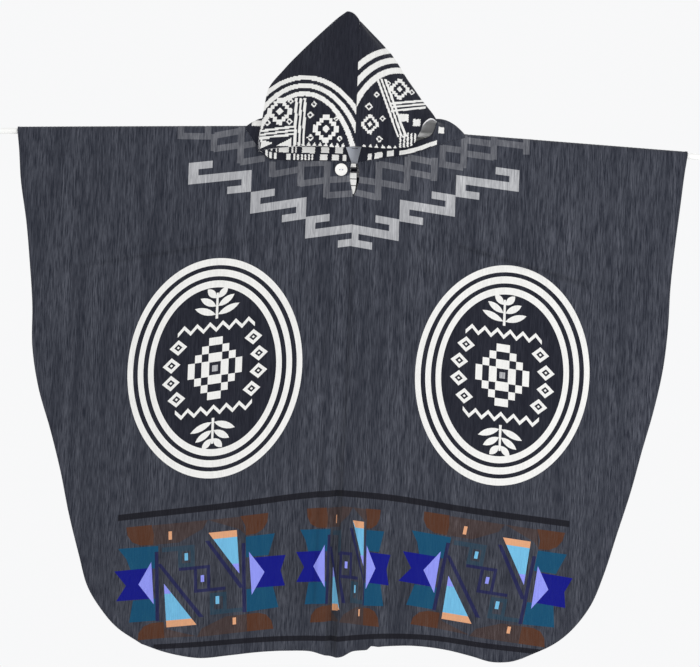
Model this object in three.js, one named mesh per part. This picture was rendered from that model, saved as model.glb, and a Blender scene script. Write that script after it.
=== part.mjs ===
// A hooded wool poncho that hangs on a plain rod.
// Millimetres. +X is the viewer's right, the front faces -Y, +Z is up.
// The origin is the middle of the rod's axis, where the rod is held.
import * as THREE from "three";

// Cloth and seams
const CLOTH = 2.2;
const SEAM_GAP = 0.3;
const SEAM_X = 5;

// The rod: it is held in the middle and its two arms droop a little
const ROD_RADIUS = 5.75;
const ROD_HALF_LENGTH = 710;
const ROD_DROOP = 0.042;
const ROD_BEND = 80;
const ROD_STEPS = 32;
const ROD_SIDES = 14;

// The fold of the cloth over the rod
const ROD_CLEARANCE = 0.4;
const FOLD_RADIUS = ROD_RADIUS + ROD_CLEARANCE + CLOTH;
const FOLD_STEPS = 6;

// Body heights: the hem at the centre seam, the throat, and the top of the back seam
const HEM_CENTRE_Z = -1020;
const THROAT_Z = -62;
const NAPE_Z = -28;
const NECK_SIDE = 212;
const SHOULDER_TIP = 650;

// How far the hanging cloth stands off the rod's upright plane, and the height over which it gets there
const HANG_SPREAD = 9;
const HANG_HEIGHT = 150;
const HEM_SPREAD = 5;

// The back hangs a little inside the outline of the front: narrower at the sides and shorter at the hem
const BACK_INSET = 7;
const BACK_RISE = 6;
const BACK_CHANGE = { start: -30, full: -400 };
const NAPE_CURVE = 3;

// The neckline at the front: distance out from the centre seam, height on the left and on the right
const NECKLINE = [
  { out: 6, left: -62, right: -62 },
  { out: 30, left: -61, right: -57 },
  { out: 60, left: -61.5, right: -51 },
  { out: 90, left: -62.5, right: -46 },
  { out: 120, left: -63, right: -38.5 },
  { out: 145, left: -63, right: -28 },
  { out: 167, left: -61, right: -20 },
  { out: 184, left: -44, right: -14 },
  { out: 199, left: -24, right: -9.5 },
];

// The side edge from the shoulder tip to the end of the rounded corner: height, half width left and right
const SIDE_EDGE = [
  { z: -60, left: 645, right: 645 },
  { z: -120, left: 639, right: 639 },
  { z: -200, left: 625, right: 631 },
  { z: -280, left: 615, right: 625 },
  { z: -360, left: 607, right: 623 },
  { z: -440, left: 604, right: 616 },
  { z: -520, left: 589, right: 601 },
  { z: -600, left: 563, right: 581 },
  { z: -680, left: 540, right: 562 },
  { z: -760, left: 521, right: 539 },
  { z: -840, left: 498, right: 516 },
  { z: -900, left: 479, right: 493 },
  { z: -948, left: 447, right: 459 },
  { z: -978, left: 418, right: 424 },
  { z: -1007, left: 371, right: 365 },
];

// The hem between the centre seam and the rounded corner
const HEM = [
  { out: 28, left: -1015, right: -1011 },
  { out: 50, left: -1009, right: -1004 },
  { out: 95, left: -1010, right: -994.5 },
  { out: 150, left: -1015, right: -992 },
  { out: 210, left: -1023, right: -996.5 },
  { out: 260, left: -1029, right: -1006 },
  { out: 300, left: -1026, right: -1015.5 },
  { out: 337, left: -1019, right: -1014 },
];

// The neck slit: half of its gap on the left and on the right, down to where the seam starts
const SLIT = [
  { z: -62, left: 6, right: 6 },
  { z: -80, left: 8, right: 10 },
  { z: -98, left: 7, right: 10 },
  { z: -115, left: 3, right: 6 },
  { z: -128, left: SEAM_GAP / 2, right: SEAM_GAP / 2 },
];

// Columns of the panels past the neck, and rows down the front and the back, as shares of the length
const SHOULDER_COLUMNS = 11;
const FRONT_ROWS = [0, 0.018, 0.036, 0.053, 0.069, 0.11, 0.17, 0.24, 0.31, 0.39];
const LOWER_ROWS = [0.47, 0.55, 0.63, 0.71, 0.79, 0.86, 0.93, 1];
const BACK_ROWS = [0, 0.04, 0.1, 0.17, 0.25, 0.33, 0.41, 0.49];
const BACK_LOWER_ROWS = [0.57, 0.65, 0.73, 0.81, 0.88, 0.94, 1];

// Folds that run down the cloth: where, how wide, how far forward (or back), and from which height
const FRONT_FOLDS = [
  { x: 5, width: 20, forward: -5, start: -120, full: -420 },
  { x: -55, width: 45, forward: 2.5, start: -300, full: -900 },
  { x: 62, width: 42, forward: 3, start: -300, full: -900 },
  { x: -262, width: 80, forward: 9, start: -560, full: -1000 },
  { x: 300, width: 75, forward: 9, start: -540, full: -1000 },
  { x: -135, width: 55, forward: -3, start: -640, full: -1000 },
  { x: 150, width: 70, forward: -3.5, start: -600, full: -1000 },
  { x: -460, width: 70, forward: 4, start: -300, full: -800 },
  { x: 470, width: 80, forward: 3, start: -300, full: -800 },
];
const BACK_FOLDS = [
  { x: 5, width: 20, forward: -4, start: -120, full: -420 },
  { x: -180, width: 80, forward: 8, start: -480, full: -1000 },
  { x: 205, width: 85, forward: 9, start: -520, full: -1000 },
  { x: -350, width: 70, forward: 5, start: -420, full: -950 },
  { x: 410, width: 80, forward: 6, start: -400, full: -950 },
];

// The hood's face edge along the brow, from the crown seam out to the corner
const BROW = [
  { leftOut: 0.15, leftZ: -33, rightOut: 0.15, rightZ: -33, y: -44 },
  { leftOut: 29, leftZ: -35, rightOut: 30, rightZ: -34, y: -46 },
  { leftOut: 58, leftZ: -34, rightOut: 58, rightZ: -35, y: -47 },
  { leftOut: 82, leftZ: -34.5, rightOut: 86, rightZ: -33, y: -47 },
  { leftOut: 109, leftZ: -36, rightOut: 110, rightZ: -27, y: -46 },
  { leftOut: 138, leftZ: -39, rightOut: 121, rightZ: -4, y: -44 },
  { leftOut: 162, leftZ: -42, rightOut: 129, rightZ: 16, y: -41 },
  { leftOut: 177, leftZ: -45, rightOut: 143, rightZ: 27, y: -37 },
  { leftOut: 186, leftZ: -48, rightOut: 157, rightZ: 22, y: -32 },
];

// The chin strip's free upper edge, from the throat out to the same corner
const CHIN = [
  { leftOut: 19, leftZ: -30, rightOut: 13, rightZ: -30 },
  { leftOut: 38, leftZ: -28, rightOut: 34, rightZ: -28 },
  { leftOut: 66, leftZ: -28, rightOut: 60, rightZ: -27 },
  { leftOut: 98, leftZ: -29, rightOut: 90, rightZ: -24 },
  { leftOut: 130, leftZ: -32, rightOut: 119, rightZ: -18 },
  { leftOut: 160, leftZ: -38, rightOut: 148, rightZ: -4 },
];
const CHIN_Y = -17;

// Sections of the hood from the brow up to the tip: the crown seam in front and the seam at the back
const HOOD_SEAMS = [
  { frontZ: -33, frontY: -44, backZ: 24, backY: 17 },
  { frontZ: -8, frontY: -45, backZ: 42, backY: 20 },
  { frontZ: 20, frontY: -44, backZ: 60, backY: 22 },
  { frontZ: 50, frontY: -41, backZ: 80, backY: 23 },
  { frontZ: 80, frontY: -37, backZ: 100, backY: 23 },
  { frontZ: 108, frontY: -32, backZ: 121, backY: 22 },
  { frontZ: 134, frontY: -27, backZ: 142, backY: 19 },
  { frontZ: 158, frontY: -21, backZ: 163, backY: 16 },
  { frontZ: 180, frontY: -15, backZ: 183, backY: 12 },
  { frontZ: 197, frontY: -10, backZ: 199, backY: 9 },
  { frontZ: 208, frontY: -5, backZ: 208, backY: 6 },
];

// The folded outline of the hood at the same sections
const HOOD_OUTLINE = [
  { leftOut: 186, leftZ: -48, rightOut: 157, rightZ: 22, y: -32 },
  { leftOut: 184, leftZ: -20, rightOut: 148, rightZ: 36, y: -24 },
  { leftOut: 181, leftZ: 15, rightOut: 138, rightZ: 48, y: -15 },
  { leftOut: 177, leftZ: 50, rightOut: 126, rightZ: 63, y: -9 },
  { leftOut: 169, leftZ: 80, rightOut: 113, rightZ: 80, y: -6 },
  { leftOut: 140, leftZ: 118, rightOut: 98, rightZ: 99, y: -4 },
  { leftOut: 115, leftZ: 146, rightOut: 84, rightZ: 120, y: -3 },
  { leftOut: 89, leftZ: 173, rightOut: 68, rightZ: 142, y: -2 },
  { leftOut: 63, leftZ: 199, rightOut: 49, rightZ: 162, y: -1 },
  { leftOut: 42, leftZ: 219, rightOut: 27, rightZ: 184, y: 0 },
  { leftOut: 25, leftZ: 232, rightOut: 10, rightZ: 203, y: 0 },
];

// Steps across a section, from the seam out to the outline
const ACROSS = [0, 0.15, 0.3, 0.45, 0.6, 0.75, 0.87, 0.95, 1];

// How the hood's front bends between the seam and the outline: 1 is straight, and more is fuller
const FRONT_FULLNESS = 2.4;
const SECTION_ARCH = 1.1;
const TIP_ARCH = 0.45;
const TIP_SECTIONS = 3;

// How the back rounds from the outline to its seam, outwards, upwards and in depth, from section to section
const BACK_BENDS = {
  out: { first: 3, step: -1 / 3, limit: 2 },
  up: { first: 4, step: -0.5, limit: 2.5 },
  deep: { first: 1.6, step: 0.3, limit: 2.4 },
};

// Where the neck's columns meet the hood's lowest section behind its corner, in that section's steps
const NECK_MEETS = [
  { column: 6, place: 0 },
  { column: 9, place: 3 },
  { column: 15, place: 5.3 },
  { column: 24, place: 8 },
];
const NECK_BULGE = { left: 6, right: 15 };
const NECK_BULGE_COLUMNS = 12;
const CHIN_BEND = 3;

// The seam's gap is widened a little for the corners of the neckline
const NECK_GAP = SEAM_GAP * 1.1;

// Button, loop and label at the throat
const BUTTON_RADIUS = 12;
const BUTTON_THICKNESS = 3;
const BUTTON_BEVEL = 0.6;
const BUTTON_CURVE_STEPS = 11;
const BUTTON_HOLE_RADIUS = 1.3;
const BUTTON_HOLE_SPACING = 5;
const BUTTON_X = -20;
const BUTTON_Z = -77;
const LOOP_RADIUS = 1.1;
const LOOP_SIDES = 8;
const LOOP_STEPS = 36;
const LOOP_HALF_GAP = 3.4;
const LOOP_RISE_LENGTH = 4;
const LOOP_RISE = 0.8;
const LOOP_OVER = { x: -3, y: -0.3 };
const LOOP_MIDDLE_X = -14;
const LOOP_END_X = -25;
const LOOP_END_ROUND = 2;
const LOOP_END_CLOSE = 0.8;
const LOOP_ROOT_GAP = 0.1;
const LABEL_WIDTH = 34;
const LABEL_HEIGHT = 32;
const LABEL_THICKNESS = 0.6;
const LABEL_DROP = 2;

// Samples along the curves of the body's edges
const CURVE_SAMPLES = 400;

function signOf(side) {
  return side === "left" ? -1 : 1;
}

// Height of the rod's axis at a distance x from its middle
function rodZ(x) {
  return -ROD_DROOP * (Math.sqrt(x * x + ROD_BEND * ROD_BEND) - ROD_BEND);
}

// A smooth step from 0 to 1 between two values
function ease(from, to, value) {
  const share = Math.min(1, Math.max(0, (value - from) / (to - from)));
  return share * share * (3 - 2 * share);
}

// A value read off a table whose rows fall in height
function readDown(table, column, z) {
  const below = table.findIndex((row) => row.z <= z);
  if (below === 0) return table[0][column];
  if (below < 0) return table[table.length - 1][column];
  const high = table[below - 1];
  const low = table[below];
  const share = (high.z - z) / (high.z - low.z);
  return high[column] + (low[column] - high[column]) * share;
}

// Where a column of the neck meets the hood's lowest section
function readAlong(table, column) {
  const next = Math.max(1, table.findIndex((row) => row.column >= column));
  const low = table[next - 1];
  const high = table[next];
  const share = Math.max(0, (column - low.column) / (high.column - low.column));
  return low.place + (high.place - low.place) * share;
}

// A bend of the hood's back at one section
function bendAt({ first, step, limit }, section) {
  const bend = first + step * section;
  return step < 0 ? Math.max(limit, bend) : Math.min(limit, bend);
}

// How far the folds carry the cloth away from its plain hang at one place
function foldRelief(folds, x, z) {
  return folds.reduce((sum, fold) => {
    const across = (x - fold.x) / fold.width;
    const down = ease(fold.start, fold.full, z);
    return sum + fold.forward * Math.exp(-across * across) * down;
  }, 0);
}

// Distance of the cloth's outer face from the rod's upright plane, at the front or the back
function standOff(folds, x, z) {
  const drop = Math.max(0, rodZ(x) - z);
  const spread = HANG_SPREAD * (1 - Math.exp(-drop / HANG_HEIGHT)) + (HEM_SPREAD * drop) / 1000;
  return FOLD_RADIUS + spread + foldRelief(folds, x, z);
}

// An open sheet of cloth, built from the points of its outer face and thickened inwards
class Cloth {
  constructor() {
    this.points = [];
    this.fixed = [];
    this.faces = [];
  }

  add(point, normal = null) {
    this.points.push(point);
    this.fixed.push(normal);
    return this.points.length - 1;
  }

  // Cells between two rows of points with the same count
  band(lower, upper) {
    for (let i = 0; i + 1 < lower.length; i += 1) {
      this.faces.push([lower[i], lower[i + 1], upper[i + 1]]);
      this.faces.push([lower[i], upper[i + 1], upper[i]]);
    }
  }

  // Triangles between two rows with different counts: places says where the lower points meet the upper row
  stitch(lower, places, upper) {
    let a = 0;
    let b = 0;
    while (a < lower.length - 1 || b < upper.length - 1) {
      const lowerNext = a + 1 < lower.length ? places[a + 1] : Infinity;
      const upperNext = b + 1 < upper.length ? b + 1 : Infinity;
      if (lowerNext <= upperNext) {
        this.faces.push([lower[a], lower[a + 1], upper[b]]);
        a += 1;
      } else {
        this.faces.push([lower[a], upper[b + 1], upper[b]]);
        b += 1;
      }
    }
  }

  turnOver() {
    this.faces = this.faces.map(([a, b, c]) => [a, c, b]);
  }

  normals() {
    const sums = this.points.map(() => new THREE.Vector3());
    for (const [a, b, c] of this.faces) {
      const ab = this.points[b].clone().sub(this.points[a]);
      const ac = this.points[c].clone().sub(this.points[a]);
      const area = ab.cross(ac);
      [a, b, c].forEach((corner) => sums[corner].add(area));
    }
    return sums.map((sum, i) => (this.fixed[i] ? this.fixed[i].clone() : sum.normalize()));
  }

  // The closed solid: outer face, inner face, and a wall along every free edge
  solid() {
    const count = this.points.length;
    const normals = this.normals();
    const outer = this.points.flatMap((p) => [p.x, p.y, p.z]);
    const inner = this.points.flatMap((p, i) => {
      const q = p.clone().addScaledVector(normals[i], -CLOTH);
      return [q.x, q.y, q.z];
    });
    const around = ([a, b, c]) => [`${a},${b}`, `${b},${c}`, `${c},${a}`];
    const edges = new Set(this.faces.flatMap(around));
    const index = [];
    for (const [a, b, c] of this.faces) {
      index.push(a, b, c, c + count, b + count, a + count);
      for (const [from, to] of [[a, b], [b, c], [c, a]]) {
        if (!edges.has(`${to},${from}`)) {
          index.push(to, from, from + count, to, from + count, to + count);
        }
      }
    }
    const geometry = new THREE.BufferGeometry();
    geometry.setAttribute("position", new THREE.Float32BufferAttribute([...outer, ...inner], 3));
    geometry.setIndex(index);
    geometry.computeVertexNormals();
    return geometry;
  }
}

// A patch between four edges: top and bottom run outwards, inner and outer run down
function patchPoint(top, bottom, inner, outer, s, t) {
  const mix = (axis) =>
    (1 - t) * top(s)[axis] +
    t * bottom(s)[axis] +
    (1 - s) * inner(t)[axis] +
    s * outer(t)[axis] -
    (1 - s) * (1 - t) * top(0)[axis] -
    s * (1 - t) * top(1)[axis] -
    (1 - s) * t * bottom(0)[axis] -
    s * t * bottom(1)[axis];
  return { x: mix("x"), z: mix("z") };
}

// Distances out from the centre seam of a panel's columns, at the top
const NECK_CORNER = NECKLINE.length;
function columnsOf(side) {
  const tip = SHOULDER_TIP - signOf(side) * SEAM_X;
  const step = (tip - NECK_SIDE) / SHOULDER_COLUMNS;
  const shoulder = Array.from({ length: SHOULDER_COLUMNS + 1 }, (_, i) => NECK_SIDE + i * step);
  return [...NECKLINE.map((row) => row.out), ...shoulder];
}

// A curve in the cloth's plane that is asked for its point at a share of its length
function planeCurve(points) {
  const corners = points.map(([x, z]) => new THREE.Vector3(x, 0, z));
  const curve = new THREE.CatmullRomCurve3(corners, false, "centripetal");
  curve.arcLengthDivisions = CURVE_SAMPLES;
  return (share) => curve.getPointAt(Math.min(1, Math.max(0, share)));
}

// The edges of one half of the body, front or back, with x as the distance out from the centre seam
function bodyEdges(side, isBack, columns) {
  const inset = isBack ? BACK_INSET : 0;
  const rise = isBack ? BACK_RISE : 0;
  const sign = signOf(side);
  const shoulder = (out) => rodZ(SEAM_X + sign * out);
  const edgePoint = (row) => {
    const hang = ease(BACK_CHANGE.start, BACK_CHANGE.full, row.z);
    return [row[side] - sign * SEAM_X - inset * hang, row.z + rise * hang];
  };
  const tip = columns[columns.length - 1];
  const sideCurve = planeCurve([[tip, shoulder(tip)], ...SIDE_EDGE.map(edgePoint)]);
  const hemCurve = planeCurve([
    [SEAM_GAP / 2, HEM_CENTRE_Z + rise],
    ...HEM.map((row) => [row.out, row[side] + rise]),
    edgePoint(SIDE_EDGE[SIDE_EDGE.length - 1]),
  ]);
  const topZ = (column) => {
    if (column >= NECK_CORNER) return shoulder(columns[column]);
    const share = columns[column] / NECK_SIDE;
    const napeZ = NAPE_Z + (shoulder(NECK_SIDE) - NAPE_Z) * share ** NAPE_CURVE;
    return isBack ? napeZ : NECKLINE[column][side];
  };
  const innerX = (z) => (isBack ? SEAM_GAP / 2 : readDown(SLIT, side, z));
  const topCentre = isBack ? NAPE_Z : THROAT_Z;
  const inner = (t) => {
    const z = topCentre + (HEM_CENTRE_Z + rise - topCentre) * t;
    return { x: innerX(z), z };
  };
  return { sideCurve, hemCurve, topZ, inner };
}

// One row of points across a half of the body, at a share of the way down
function bodyRow(side, isBack, t) {
  const folds = isBack ? BACK_FOLDS : FRONT_FOLDS;
  const columns = columnsOf(side);
  const edges = bodyEdges(side, isBack, columns);
  const last = columns.length - 1;
  const topPoint = (column) => ({
    x: column === 0 ? edges.inner(0).x : columns[column],
    z: edges.topZ(column),
  });
  return columns.map((out, column) => {
    const share = (out - columns[0]) / (columns[last] - columns[0]);
    const top = (s) => topPoint(s === share ? column : s * last);
    const place = patchPoint(top, edges.hemCurve, edges.inner, edges.sideCurve, share, t);
    const x = SEAM_X + signOf(side) * place.x;
    const y = standOff(folds, x, place.z);
    return new THREE.Vector3(x, isBack ? y : -y, place.z);
  });
}

// A body panel, front and back in one piece, folded over the rod; it also gives the neckline for the hood
function bodyPanel(side) {
  const cloth = new Cloth();
  const flat = { front: new THREE.Vector3(0, -1, 0), back: new THREE.Vector3(0, 1, 0) };
  const addRow = (points, face, isTop) =>
    points.map((point, column) => {
      const edge = column === 0 || (isTop && column < NECK_CORNER);
      return cloth.add(point, edge ? flat[face] : null);
    });
  const frontShares = [...FRONT_ROWS, ...LOWER_ROWS].reverse();
  const front = frontShares.map((t) => addRow(bodyRow(side, false, t), "front", t === 0));
  const backShares = [...BACK_ROWS, ...BACK_LOWER_ROWS];
  const back = backShares.map((t) => addRow(bodyRow(side, true, t), "back", t === 0));
  const topFront = front[front.length - 1];
  const topBack = back[0];
  const arcs = [topFront.slice(NECK_CORNER)];
  for (let step = 1; step < FOLD_STEPS; step += 1) {
    const angle = (Math.PI * step) / FOLD_STEPS;
    const radial = new THREE.Vector3(0, -Math.cos(angle), Math.sin(angle));
    arcs.push(
      topFront.slice(NECK_CORNER).map((corner) => {
        const { x } = cloth.points[corner];
        const point = new THREE.Vector3(x, 0, rodZ(x)).addScaledVector(radial, FOLD_RADIUS);
        return cloth.add(point, radial);
      }),
    );
  }
  arcs.push(topBack.slice(NECK_CORNER));
  topFront.slice(NECK_CORNER).forEach((corner) => {
    cloth.fixed[corner] = flat.front;
  });
  topBack.slice(NECK_CORNER).forEach((corner) => {
    cloth.fixed[corner] = flat.back;
  });
  for (const rows of [front, arcs, back]) {
    for (let row = 0; row + 1 < rows.length; row += 1) cloth.band(rows[row], rows[row + 1]);
  }
  if (side === "left") cloth.turnOver();
  const neckline = [
    ...topFront.slice(0, NECK_CORNER),
    ...arcs.map((arc) => arc[0]),
    ...topBack.slice(0, NECK_CORNER).reverse(),
  ];
  const path = neckline.map((i) => ({ point: cloth.points[i], normal: cloth.fixed[i] }));
  return { cloth, path };
}

// The hood's neck edge: the panel's neckline moved off it by the seam's gap, in the plane of the cloth
function neckEdge(path, sign) {
  return path.map(({ point, normal }, i) => {
    const before = path[Math.max(0, i - 1)].point;
    const after = path[Math.min(path.length - 1, i + 1)].point;
    const along = after.clone().sub(before).normalize();
    const off = along.cross(normal).multiplyScalar(-sign).normalize();
    const moved = point.clone().addScaledVector(off, NECK_GAP);
    if (i === path.length - 1) moved.x = point.x;
    return { point: moved, normal };
  });
}

// One row of the hood: from the crown seam over the front, round the folded outline, to the back seam
function hoodRow(side, k) {
  const sign = signOf(side);
  const seam = HOOD_SEAMS[k];
  const outline = HOOD_OUTLINE[k];
  const foldOut = outline[`${side}Out`];
  const foldZ = outline[`${side}Z`];
  const half = SEAM_GAP / 2;
  const fromTip = HOOD_SEAMS.length - 1 - k;
  const arch = TIP_ARCH + (SECTION_ARCH - TIP_ARCH) * ease(0, TIP_SECTIONS, fromTip);
  const front = ACROSS.map((share, j) => {
    if (k === 0) {
      const brow = BROW[j];
      return new THREE.Vector3(SEAM_X + sign * brow[`${side}Out`], brow.y, brow[`${side}Z`]);
    }
    const y = outline.y + (seam.frontY - outline.y) * (1 - share ** FRONT_FULLNESS);
    const z = seam.frontZ + (foldZ - seam.frontZ) * share ** arch;
    return new THREE.Vector3(SEAM_X + sign * Math.max(half, foldOut * share), y, z);
  });
  const back = ACROSS.slice(0, -1).reverse().map((share) => {
    const out = Math.max(half, foldOut * (1 - (1 - share) ** bendAt(BACK_BENDS.out, k)));
    const y = outline.y + (seam.backY - outline.y) * (1 - share ** bendAt(BACK_BENDS.deep, k));
    const z = foldZ + (seam.backZ - foldZ) * (1 - share ** bendAt(BACK_BENDS.up, k));
    return new THREE.Vector3(SEAM_X + sign * out, y, z);
  });
  return [...front, ...back];
}

// One side of the hood, from the neckline round to the crown seam and the back seam
function hoodSide(side, path) {
  const cloth = new Cloth();
  const sign = signOf(side);
  const sideways = (point, y) => cloth.add(point, new THREE.Vector3(0, y, 0));
  const last = HOOD_SEAMS.length - 1;
  const fold = ACROSS.length - 1;
  const rows = HOOD_SEAMS.map((_, k) =>
    hoodRow(side, k).map((point, j) => {
      if (j === 0) return sideways(point, -1);
      return j === 2 * fold ? sideways(point, 1) : cloth.add(point);
    }),
  );
  for (let k = 0; k < last; k += 1) cloth.band(rows[k], rows[k + 1]);
  const tip = rows[last];
  cloth.band(tip.slice(0, fold), tip.slice(fold + 1).reverse());
  cloth.faces.push([tip[fold - 1], tip[fold], tip[fold + 1]]);

  const neck = neckEdge(path, sign);
  const neckRow = neck.map(({ point, normal }) => cloth.add(point, normal));
  const corner = rows[0][fold];
  const target = rows[0].slice(fold).map((i) => cloth.points[i]);
  const chin = CHIN.map((row, i) => {
    const y = CHIN_Y + (cloth.points[corner].y - CHIN_Y) * (i / CHIN.length) ** CHIN_BEND;
    return cloth.add(new THREE.Vector3(SEAM_X + sign * row[`${side}Out`], y, row[`${side}Z`]));
  });
  const chinRow = [...chin, corner];
  const places = neck.map((_, i) => readAlong(NECK_MEETS, i));
  const middle = neck.map(({ point }, i) => {
    if (i < CHIN.length) return point.clone().lerp(cloth.points[chin[i]], 0.5);
    const step = Math.min(target.length - 2, Math.floor(places[i]));
    const above = target[step].clone().lerp(target[step + 1], places[i] - step);
    const mid = point.clone().lerp(above, 0.5);
    const along = Math.min(1, (i - CHIN.length) / NECK_BULGE_COLUMNS);
    mid.z += NECK_BULGE[side] * Math.sin(Math.PI * along) ** 2;
    return mid;
  });
  const atBackSeam = neck.length - 1;
  const middleRow = middle.map((point, i) => (i === atBackSeam ? sideways(point, 1) : cloth.add(point)));
  cloth.band(neckRow, middleRow);
  cloth.band(middleRow.slice(0, chinRow.length), chinRow);
  cloth.stitch(middleRow.slice(CHIN.length), places.slice(CHIN.length), rows[0].slice(fold));
  if (side === "left") cloth.turnOver();
  return cloth;
}

// A round flat button with two holes, facing the front
function buttonGeometry() {
  const outline = new THREE.Shape().absarc(0, 0, BUTTON_RADIUS - BUTTON_BEVEL, 0, 2 * Math.PI, false);
  [-1, 1].forEach((way) => {
    const hole = new THREE.Path();
    hole.absarc((way * BUTTON_HOLE_SPACING) / 2, 0, BUTTON_HOLE_RADIUS, 0, 2 * Math.PI, true);
    outline.holes.push(hole);
  });
  const geometry = new THREE.ExtrudeGeometry(outline, {
    depth: BUTTON_THICKNESS - 2 * BUTTON_BEVEL,
    bevelEnabled: true,
    bevelThickness: BUTTON_BEVEL,
    bevelSize: BUTTON_BEVEL,
    bevelSegments: 1,
    curveSegments: BUTTON_CURVE_STEPS,
  });
  return geometry.translate(0, 0, BUTTON_BEVEL).rotateX(Math.PI / 2);
}

// A round cord along a curve
function cordGeometry(curve, radius, sides, steps) {
  const section = new THREE.Shape(
    Array.from({ length: sides }, (_, i) => {
      const angle = (2 * Math.PI * i) / sides;
      return new THREE.Vector2(radius * Math.cos(angle), radius * Math.sin(angle));
    }),
  );
  return new THREE.ExtrudeGeometry(section, { steps, extrudePath: curve });
}

// The rod's axis
class RodAxis extends THREE.Curve {
  getPoint(t, target = new THREE.Vector3()) {
    const x = ROD_HALF_LENGTH * (2 * t - 1);
    return target.set(x, 0, rodZ(x));
  }
}

// The loop's way: out of the right edge of the slit, round the button's thread, and back
function loopCurve(frontY) {
  const onPanel = (x) => frontY(x) - LOOP_RADIUS - SEAM_GAP;
  const strand = (offset) => {
    const z = BUTTON_Z + offset;
    const root = SEAM_X + readDown(SLIT, "right", z + LOOP_RADIUS) - SEAM_GAP - LOOP_ROOT_GAP;
    return [
      new THREE.Vector3(root, frontY(root) + CLOTH / 2, z),
      new THREE.Vector3(root - LOOP_RISE_LENGTH, onPanel(0) + LOOP_RISE, z),
      new THREE.Vector3(LOOP_OVER.x, onPanel(0) + LOOP_OVER.y, z),
      new THREE.Vector3(LOOP_MIDDLE_X, onPanel(LOOP_MIDDLE_X), z),
    ];
  };
  const endY = onPanel(LOOP_END_X);
  const roundX = LOOP_END_X + LOOP_END_ROUND;
  const roundZ = LOOP_HALF_GAP * LOOP_END_CLOSE;
  const turn = [
    new THREE.Vector3(roundX, endY, BUTTON_Z + roundZ),
    new THREE.Vector3(LOOP_END_X, endY, BUTTON_Z),
    new THREE.Vector3(roundX, endY, BUTTON_Z - roundZ),
  ];
  return new THREE.CatmullRomCurve3([
    ...strand(LOOP_HALF_GAP),
    ...turn,
    ...strand(-LOOP_HALF_GAP).reverse(),
  ]);
}

const FINISHES = {
  cloth: { color: 0x3b3e4b, roughness: 0.95, metalness: 0 },
  button: { color: 0xf2f1ee, roughness: 0.35, metalness: 0 },
  cord: { color: 0x1c1d24, roughness: 0.9, metalness: 0 },
  label: { color: 0xdfe4ee, roughness: 0.8, metalness: 0 },
  rod: { color: 0xf0f0ec, roughness: 0.4, metalness: 0 },
};

function piece(name, geometry, finish) {
  const mesh = new THREE.Mesh(geometry, new THREE.MeshStandardMaterial(FINISHES[finish]));
  mesh.name = name;
  return mesh;
}

const poncho = new THREE.Group();
for (const side of ["left", "right"]) {
  const panel = bodyPanel(side);
  poncho.add(piece(`panel_${side}`, panel.cloth.solid(), "cloth"));
  poncho.add(piece(`hood_${side}`, hoodSide(side, panel.path).solid(), "cloth"));
}

const frontY = (x) => -standOff(FRONT_FOLDS, x, BUTTON_Z);
const button = piece("button", buttonGeometry(), "button");
button.position.set(BUTTON_X, frontY(BUTTON_X) - 2 * LOOP_RADIUS - 2.5 * SEAM_GAP, BUTTON_Z);
poncho.add(button);
const loop = cordGeometry(loopCurve(frontY), LOOP_RADIUS, LOOP_SIDES, LOOP_STEPS);
poncho.add(piece("button_loop", loop, "cord"));

const ribbon = new THREE.BoxGeometry(LABEL_WIDTH, LABEL_THICKNESS, LABEL_HEIGHT);
const label = piece("neck_label", ribbon, "label");
const labelTop = NAPE_Z - LABEL_DROP;
const labelFace = standOff(BACK_FOLDS, SEAM_X, labelTop) - CLOTH;
label.position.set(SEAM_X, labelFace - SEAM_GAP - LABEL_THICKNESS / 2, labelTop - LABEL_HEIGHT / 2);
poncho.add(label);

const rod = cordGeometry(new RodAxis(), ROD_RADIUS, ROD_SIDES, ROD_STEPS);
poncho.add(piece("hanging_rod", rod, "rod"));

export default poncho;
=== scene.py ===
# %% [markdown]
# A hooded wool poncho that hangs on a rod
#
# The real thing is two lengths of thick double cloth, folded over the shoulders, sewn together down the
# middle, with a hood of two sides on the neck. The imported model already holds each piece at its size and
# place. This script keeps those places and gives every piece its weave, its woven pattern and its small
# creases. Lengths are in millimetres, as a maker writes them, and turn into metres in one place, when a
# mesh is made.

# %% Load the frame
import math

import bmesh
import bpy
import numpy as np
from mathutils import Matrix, Vector
from mathutils.geometry import delaunay_2d_cdt
from mathutils.kdtree import KDTree


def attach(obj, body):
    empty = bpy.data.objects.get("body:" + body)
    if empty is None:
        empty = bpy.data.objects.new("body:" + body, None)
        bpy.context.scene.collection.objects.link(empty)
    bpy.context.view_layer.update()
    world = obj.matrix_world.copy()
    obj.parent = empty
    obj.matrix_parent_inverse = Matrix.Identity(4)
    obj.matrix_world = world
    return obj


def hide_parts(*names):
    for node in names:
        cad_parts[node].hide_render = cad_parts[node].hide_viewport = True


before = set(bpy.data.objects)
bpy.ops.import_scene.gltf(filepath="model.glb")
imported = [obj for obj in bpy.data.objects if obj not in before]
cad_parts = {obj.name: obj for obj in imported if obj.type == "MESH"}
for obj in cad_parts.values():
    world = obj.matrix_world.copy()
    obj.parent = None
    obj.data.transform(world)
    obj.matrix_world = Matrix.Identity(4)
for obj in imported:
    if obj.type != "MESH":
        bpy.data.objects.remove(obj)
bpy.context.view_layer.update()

MM = 0.001
BODY = "root"
print("the frame holds", len(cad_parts), "nodes")

# %% [markdown]
# The camera
#
# The picture was taken from the front at the height of the chest, and it is turned by about two degrees. A
# long lens from four metres away keeps the flat cloth free of distortion. The roll goes on the camera,
# because the poncho itself hangs straight in the shared frame.

# %% Camera
CAMERA_DISTANCE = 4.0
PICTURE_WIDTH = 1.3594
SENSOR_WIDTH = 36.0
AIM = Vector((0.0089, 0.0, -0.3932))
ROLL = math.radians(2.15)


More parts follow.
